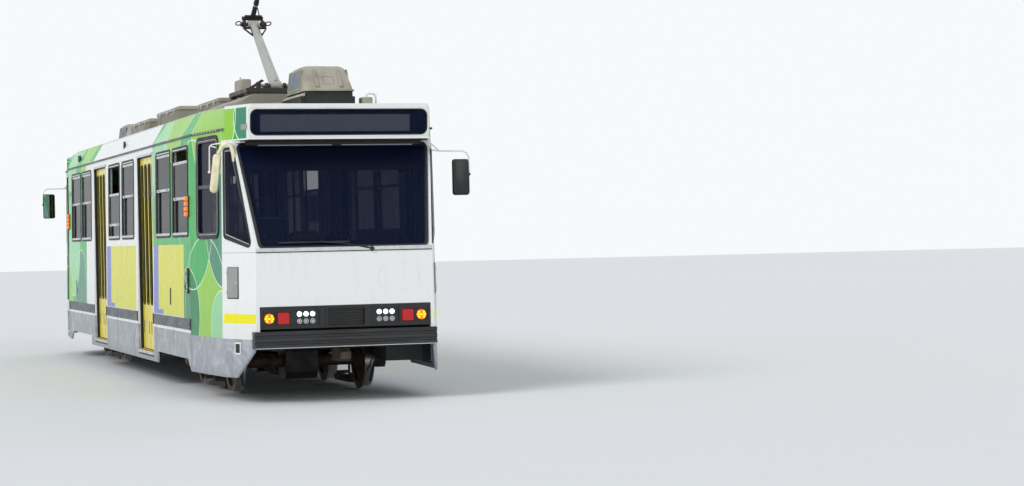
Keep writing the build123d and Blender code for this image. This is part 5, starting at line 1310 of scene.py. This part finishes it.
def seatPads():
    # pads of every seat and of the driver's, piping round them and two seams across each back
    seat, back = swollen("seat", seats["pad"]), swollen("back", seats["back"])
    driverSeat, driverBack = swollen("driverSeat", seats["driverPad"]), swollen("driverBack", seats["driverBack"])
    low, high = [], []
    piping = Shape().use(black)
    for turn in (here, otherEnd):
        for x, way in seats["rows"]:
            for y in seats["places"]:
                at = turn @ onRail @ moved(x, y, 0.860) @ facing[way]
                rest = at @ moved(-0.1848, 0, 0.665) @ turnY(-0.0105)
                low.append((seat, at @ moved(0.0175, 0, 0.3902)))
                high.append((back, rest))
                welt = plate(0.186, 0.204, 0.030, 4)
                piping.pipe(at @ moved(0.0175, 0, 0.4215), [(a, b, 0) for a, b in welt], 0.0035, 6, True)
                welt = plate(0.203, 0.210, 0.026, 4)
                piping.pipe(rest, [(0.0215, a, b) for a, b in welt], 0.0035, 6, True)
                for z in (-0.07, 0.07):
                    piping.pipe(rest, [(0.0262, -0.19, z), (0.0262, 0.19, z)], 0.0022, 5)
        driver = turn @ onRail @ moved(6.170, -0.480, 0.860)
        low.append((driverSeat, driver @ moved(0, 0, 0.5002)))
        high.append((driverBack, driver @ moved(-0.2400, 0, 0.8475) @ turnY(-0.1287)))
    pads = padPiece("seat_pads", low, nodeFinish["seat_cushions"])
    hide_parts("seat_cushions")
    padPiece("back_pads", high, nodeFinish["seat_cushions"])
    piping.piece("seat_piping", slot="seat_fabric")


saloon = {
    "lights": ((-5.20, -2.75), (-2.60, -0.08), (0.08, 2.60), (2.75, 5.20)), "lightY": 0.52,
    "slots": 44, "slotPitch": 0.235, "readers": (1.10, 2.70),
}


def saloonFittings():
    # handles on the seat backs, ceiling lights and duct grille, ticket readers, heaters under the seats
    s = Shape()
    for x, way in seats["rows"]:
        back = x - way * 0.236
        for y0, y1 in ((0.375, 0.600), (0.815, 1.040)):
            bend = [(y0, 1.72), (y0, 1.815), (y0 + 0.03, 1.845), (y1 - 0.03, 1.845), (y1, 1.815), (y1, 1.72)]
            s.use(poleYellow).pipe(onRail, [(back, y, z) for y, z in bend], 0.011, 8)
        s.use(darkIron).block(onRail, x - 0.15, x + 0.15, 1.130, 1.205, 0.875, 0.990)
    ceiling = astern(0, saloon["lightY"], 0)
    for x0, x1 in saloon["lights"]:
        s.use(cabinPanel).slab(ceiling, [(-0.085, 3.285), (0.085, 3.285), (0.070, 3.236), (-0.070, 3.236)], -x1, -x0)
        lens = [(-0.060, 3.238), (0.060, 3.238), (0.045, 3.224), (-0.045, 3.224)]
        s.use(stripLight).slab(ceiling, lens, -x1 + 0.02, -x0 - 0.02)
    for x in (k * saloon["slotPitch"] - 5.05 for k in range(saloon["slots"])):
        s.use(greyPaint).block(onRail, x, x + 0.15, 0.02, 0.13, 3.288, 3.300)
    for x in saloon["readers"]:
        at = onRail @ moved(x, 0.318, 2.03)
        s.use(doorYellow).slab(at, plate(0.055, 0.095, 0.018, 4), 0.012, 0.062, 0.004)
        s.use(blackPlastic).slab(at, rect(-0.040, 0.040, 0.005, 0.078, 0.008, 3), 0.061, 0.064)
        s.use(silver).slab(at, rect(-0.030, 0.030, -0.080, -0.060, 0.004, 2), 0.061, 0.064)
    s.alsoTurned().piece("saloon_fittings", slot="interior_panel", bevel=0.0015)


desk = {
    "x": 7.22, "y": -0.48, "dials": ((-0.20, 0.034), (-0.10, 0.034), (0.02, 0.045), (0.13, 0.034)),
    "levers": ((0.26, 0.115), (-0.27, 0.095)), "fan": (0.78, 2.50),
}


def driverPlace():
    # instrument panel, levers, buttons, screen and microphone on the desk, small fan by the right pillar
    y = desk["y"]
    binnacle = [([(-0.34, 1.56), (0.34, 1.56), (0.32, 1.655), (-0.32, 1.655)], -0.075),
                ([(-0.34, 1.56), (0.34, 1.56), (0.30, 1.600), (-0.30, 1.600)], 0.055)]
    s = Shape().use(deskGrey).stack(astern(desk["x"], y, 0), binnacle)
    dials = astern(7.145, y, 1.61, 0.35)
    for x, r in desk["dials"]:
        s.use(silver).hoop(dials, circle(x, 0, r + 0.004), circle(x, 0, r), -0.004, 0.008)
        s.use(blackPlastic).slab(dials, circle(x, 0, r), -0.004, 0.004)
    top = onRail @ moved(7.02, y, 1.566) @ turnY(-0.06)
    for row in (-0.02, 0.025):
        for k, finish in enumerate((redLens, ledAmber, silver, greyPaint, silver, poleYellow, greyPaint)):
            s.use(finish).slab(top @ laidFlat, circle(row, -0.135 + k * 0.045, 0.013, 12), -0.004, 0.018, 0.003)
    for at, tall in desk["levers"]:
        s.use(black).slab(top @ laidFlat, rect(-0.09, 0.07, at - 0.035, at + 0.035, 0.02, 4), -0.004, 0.012, 0.003)
        s.use(silver).pipe(top, [(-0.02, at, 0.01), (-0.05, at, tall)], 0.008, 8)
        knob = [(0.010, -0.018), (0.022, -0.008), (0.024, 0.006), (0.012, 0.020)]
        s.use(black).lathe(top @ moved(-0.053, at, tall) @ turnX(quarter), knob, 14)
    panel = astern(7.16, -0.02, 1.70, 0.2)
    s.use(blackPlastic).slab(panel, plate(0.12, 0.085, 0.012, 3), -0.020, 0.010)
    s.use(blindDark).slab(panel, plate(0.105, 0.070, 0.004, 2), 0.008, 0.0115)
    s.use(blackPlastic).pipe(onRail, [(7.18, -0.02, 1.56), (7.18, -0.02, 1.66)], 0.014, 8)
    stem = [(7.10, -0.80, 1.57), (7.09, -0.80, 1.70), (7.04, -0.78, 1.77), (6.98, -0.76, 1.78)]
    s.use(black).pipe(onRail, stem, 0.0055, 6)
    s.use(silver).lathe(astern(6.97, -0.757, 1.782), [(0.010, -0.014), (0.014, 0.0), (0.010, 0.014)], 12)
    s.use(blackPlastic).lathe(ahead(7.00, *desk["fan"]), [(0.030, -0.05), (0.045, -0.02), (0.030, 0.0)], 14)
    guard = astern(6.955, *desk["fan"])
    for r in (0.030, 0.055, 0.078):
        s.use(silver).hoop(guard, circle(0, 0, r + 0.002, 24), circle(0, 0, r - 0.002, 24), -0.002, 0.002)
    s.alsoTurned().piece("driver_place", slot="interior_panel")


def bogieGear(name, centre, rides):
    # springs, dampers, axle box covers, brake cylinders, sand pipes and bolts of one bogie
    t = bogie
    y, z0, z1, r = t["spring"]
    s = Shape()
    at = onRail @ moved(centre, 0, 0)
    for side in (-1, 1):
        turn, out = facing[side], side * t["beamOut"]
        s.use(darkIron).coil(at @ moved(0, side * y, z0 + 0.105), r + 0.004, 0.011, 5, z1 - z0 - 0.125, 14)
        for z in (z0 + 0.085, z1 - 0.022):
            s.drum(at @ moved(0, side * y, z) @ turnX(quarter), r + 0.016, -0.008, 0.008, 20)
        for x in (-t["half"], t["half"]):
            cap = at @ moved(x, side * t["capY"], t["axle"]) @ turn
            s.use(castGrey).lathe(cap, [(0.078, -0.004), (0.078, 0.005), (0.060, 0.009), (0.020, 0.009)])
            for bx, bz in circle(0, 0, 0.066, 6):
                s.use(silver).bolt(cap @ moved(0, 0.004, 0), bx, bz, 0.008, 0.006)
            for ox in (-0.105, 0.105):
                face = at @ moved(x, side * t["boxY"], 0) @ turn
                s.use(black).bars(face, ox - 0.012, ox + 0.012, -0.004, 0.006, 0.250, 0.030, 0.045, 5)
        for x in (k * 0.14 - 1.05 for k in range(16)):
            if abs(x) > 0.13:
                s.use(silver).bolt(at @ moved(0, out, 0) @ turn, x, t["beamTop"] - 0.022, 0.008, 0.006)
        for x in (-0.30, 0.30):
            s.use(castGrey).pipe(at, [(x, out + side * 0.024, 0.43), (x, out + side * 0.024, 0.53)], 0.026, 12)
            s.use(silver).pipe(at, [(x, out + side * 0.024, 0.53), (x, out + side * 0.024, 0.640)], 0.014, 10)
        # brake cylinder and lever before each wheel, sand pipe by the outer one
        for x, way in ((t["half"] - 0.40, 1), (-t["half"] + 0.40, -1)):
            cylinder = [(0.040, -0.055), (0.052, -0.045), (0.052, 0.040), (0.030, 0.050)]
            s.use(castGrey).lathe(astern(centre + x, side * 0.800, 0.500), cylinder, 16)
            lever = ((0.0, 0.80, 0.55), (0.05, 0.76, 0.595), (0.18, 0.70, 0.600), (0.28, 0.50, 0.560))
            s.use(black).pipe(at, [(x - way * a, side * b, z) for a, b, z in lever], 0.009, 6)
        for x in (-1.290, 1.290):
            sand = ((0.86, 0.93, 0.550), (0.97, 0.90, 0.520), (1, 0.80, 0.300), (0.985, 0.750, 0.080))
            s.pipe(at, [(x * a, side * b, z) for a, b, z in sand], 0.014, 8)
    for y in (-0.30, 0.30):
        hose = [(-0.46, y, 0.525), (-0.20, y * 1.2, 0.600), (0.20, y * 1.2, 0.600), (0.46, y, 0.525)]
        s.use(black).pipe(at, hose, 0.012, 6)
    for x in (-0.480, 0.480):
        for y in (-0.78, -0.56, -0.34, 0.34, 0.56, 0.78):
            s.use(silver).drum(at @ moved(x, y, 0.520) @ turnX(-quarter), 0.013, -0.007, 0.0, 6)
    s.piece(name, rides=rides, slot="bogie_grey")


underTable = {
    # boxes: x0, x1, half width, foot; then pipes along the car: y, radius
    "boxes": ((-2.62, -1.42, 0.555, 0.300), (-1.18, -0.06, 0.600, 0.260), (0.06, 1.18, 0.600, 0.280),
              (1.42, 2.62, 0.555, 0.320)),
    "pipes": ((-0.735, 0.016), (-0.700, 0.012), (0.700, 0.014), (0.738, 0.018)),
}


def underfloorGear():
    # covers, ribs and bolts under the four boxes, side lids with latches, cable ducts and pipes between them
    s = Shape()
    for x0, x1, half, low in underTable["boxes"]:
        cover = (x0 + 0.03, x1 - 0.03, -half + 0.03, half - 0.03)
        s.use(underGrey).stack(plan, [(grown(cover, 0, 0.02, 3), low + 0.002), (grown(cover, -0.01, 0.03, 3), low - 0.012)])
        for x in (x0 + 0.15 + k * (x1 - x0 - 0.30) / 3 for k in range(4)):
            s.use(darkIron).block(onRail, x - 0.012, x + 0.012, -half + 0.07, half - 0.07, low - 0.026, low - 0.010)
        for x in (x0 + 0.055 + k * (x1 - x0 - 0.11) / 5 for k in range(6)):
            for y in (-half + 0.055, half - 0.055):
                head = [(0.006, low - 0.018), (0.009, low - 0.016), (0.009, low - 0.010)]
                s.use(silver).lathe(plan @ moved(x, 0, y), head, 6)
        for wall in (onRail @ moved(0, half, 0), onRail @ moved(0, -half, 0) @ flip):
            for k in range(2):
                a, b = x0 + 0.05 + k * (x1 - x0) / 2, x0 - 0.05 + (k + 1) * (x1 - x0) / 2
                s.use(underGrey).slab(wall, rect(a, b, low + 0.05, 0.66, 0.015, 3), -0.002, 0.010, 0.003)
                for x in (a + 0.08, b - 0.08):
                    latch = rect(x - 0.014, x + 0.014, low + 0.055, low + 0.100, 0.004, 2)
                    s.use(silver).slab(wall, latch, 0.009, 0.016, 0.002)
                if k:
                    s.use(darkIron).bars(wall, a + 0.10, b - 0.10, 0.009, 0.013, low + 0.15, 0.010, 0.028, 6)
    for y, r in underTable["pipes"]:
        s.use(black).pipe(onRail, [(-2.75, y, 0.655), (2.75, y, 0.655)], r, 8)
    for x in (k * 0.50 - 2.5 for k in range(11)):
        for side in (-1, 1):
            s.use(silver).block(onRail, x - 0.012, x + 0.012, side * 0.675, side * 0.765, 0.632, 0.637)
    s.piece("underfloor_gear", slot="underfloor")


def headerPlates():
    # blank plates on the header's sides
    s = Shape().use(greyPaint)
    for way in (here, flip):
        s.add(way @ onRail, [(7.190, 1.0460, 2.930), (7.320, 1.0040, 2.930), (7.320, 1.0032, 2.990), (7.190, 1.0455, 2.990),
                             (7.190, 1.0510, 2.930), (7.320, 1.0080, 2.930), (7.320, 1.0072, 2.990), (7.190, 1.0500, 2.990)],
              [(0, 1, 2, 3), (7, 6, 5, 4), (0, 4, 5, 1), (1, 5, 6, 2), (2, 6, 7, 3), (3, 7, 4, 0)])
    s.alsoTurned().piece("header_plates", slot="moulding_grey")


seatPads()
saloonFittings()
driverPlace()
bogieGear("bogie_gear_front", bogie["at"], "bogie_front")
bogieGear("bogie_gear_rear", -bogie["at"], "bogie_rear")
underfloorGear()
headerPlates()
print("inside, bogies and underfloor dressed")


view = {"spot": (31.638, -5.941, 1.725), "yaw": 162.0395, "pitch": -0.102, "roll": -1.2165, "lens": 81.09}
light = {
    "key": 1.68, "fill": 0.42, "back": 0.28, "sky": 0.48, "softness": 28,
    "spots": {"key": (12, -20, 17), "fill": (30, 10, 14), "back": (-18, 14, 14)},
}


def lookThrough():
    # camera of the photograph
    yaw, pitch, roll = (math.radians(view[k]) for k in ("yaw", "pitch", "roll"))
    way = Vector((math.cos(pitch) * math.cos(yaw), math.cos(pitch) * math.sin(yaw), math.sin(pitch)))
    right = way.cross(Vector((0, 0, 1))).normalized()
    up = right.cross(way)
    across = right * math.cos(roll) + up * math.sin(roll)
    over = up * math.cos(roll) - right * math.sin(roll)
    camera = bpy.data.objects.new("camera", bpy.data.cameras.new("camera"))
    camera.data.lens = view["lens"]
    camera.data.clip_end = 500
    camera.matrix_world = Matrix.Translation(view["spot"]) @ Matrix((across, over, -way)).transposed().to_4x4()
    bpy.context.scene.collection.objects.link(camera)
    bpy.context.scene.camera = camera


def studioFloor():
    f = Finish("paleFloor", Roughness=0.9, Specular_IOR_Level=0.1)
    f.painted(f.mix(f.spread(f.noise(0.05, 1.0), 0.3, 0.7), (0.915, 0.92, 0.925), (0.92, 0.925, 0.93)))
    s = Shape().use(f.material).add(here, [(x, y, -0.001) for x, y in plate(150, 150)], [(0, 1, 2, 3)])
    floor = s.linked("studio_floor")


def lamps():
    for name, spot in light["spots"].items():
        lamp = bpy.data.objects.new(name, bpy.data.lights.new(name, "SUN"))
        lamp.data.energy, lamp.data.angle = light[name], math.radians(light["softness"])
        lamp.location = spot
        lamp.rotation_euler = (-Vector(spot)).to_track_quat("-Z", "Y").to_euler()
        bpy.context.scene.collection.objects.link(lamp)


def sky():
    # dim light from all round; the camera, reflections and glass see a pale backdrop instead
    world = bpy.data.worlds.new("studio")
    bpy.context.scene.world = world
    world.use_nodes = True
    tree = world.node_tree
    plain, seen = tree.nodes["Background"], tree.nodes.new("ShaderNodeBackground")
    plain.inputs[0].default_value = (0.90, 0.95, 1.0, 1)
    plain.inputs[1].default_value = light["sky"]
    seen.inputs[0].default_value = (0.93, 0.95, 0.97, 1)
    path = tree.nodes.new("ShaderNodeLightPath")
    direct = path.outputs["Is Camera Ray"]
    for ray in ("Is Glossy Ray", "Is Transmission Ray"):
        more = tree.nodes.new("ShaderNodeMath")
        more.operation = "MAXIMUM"
        tree.links.new(direct, more.inputs[0])
        tree.links.new(path.outputs[ray], more.inputs[1])
        direct = more.outputs[0]
    share = tree.nodes.new("ShaderNodeMixShader")
    for k, output in enumerate((direct, plain.outputs[0], seen.outputs[0])):
        tree.links.new(output, share.inputs[k])
    tree.links.new(share.outputs[0], tree.nodes["World Output"].inputs[0])


lookThrough()
studioFloor()
lamps()
sky()
bpy.context.scene.view_settings.view_transform = "Standard"
print("camera and studio ready")
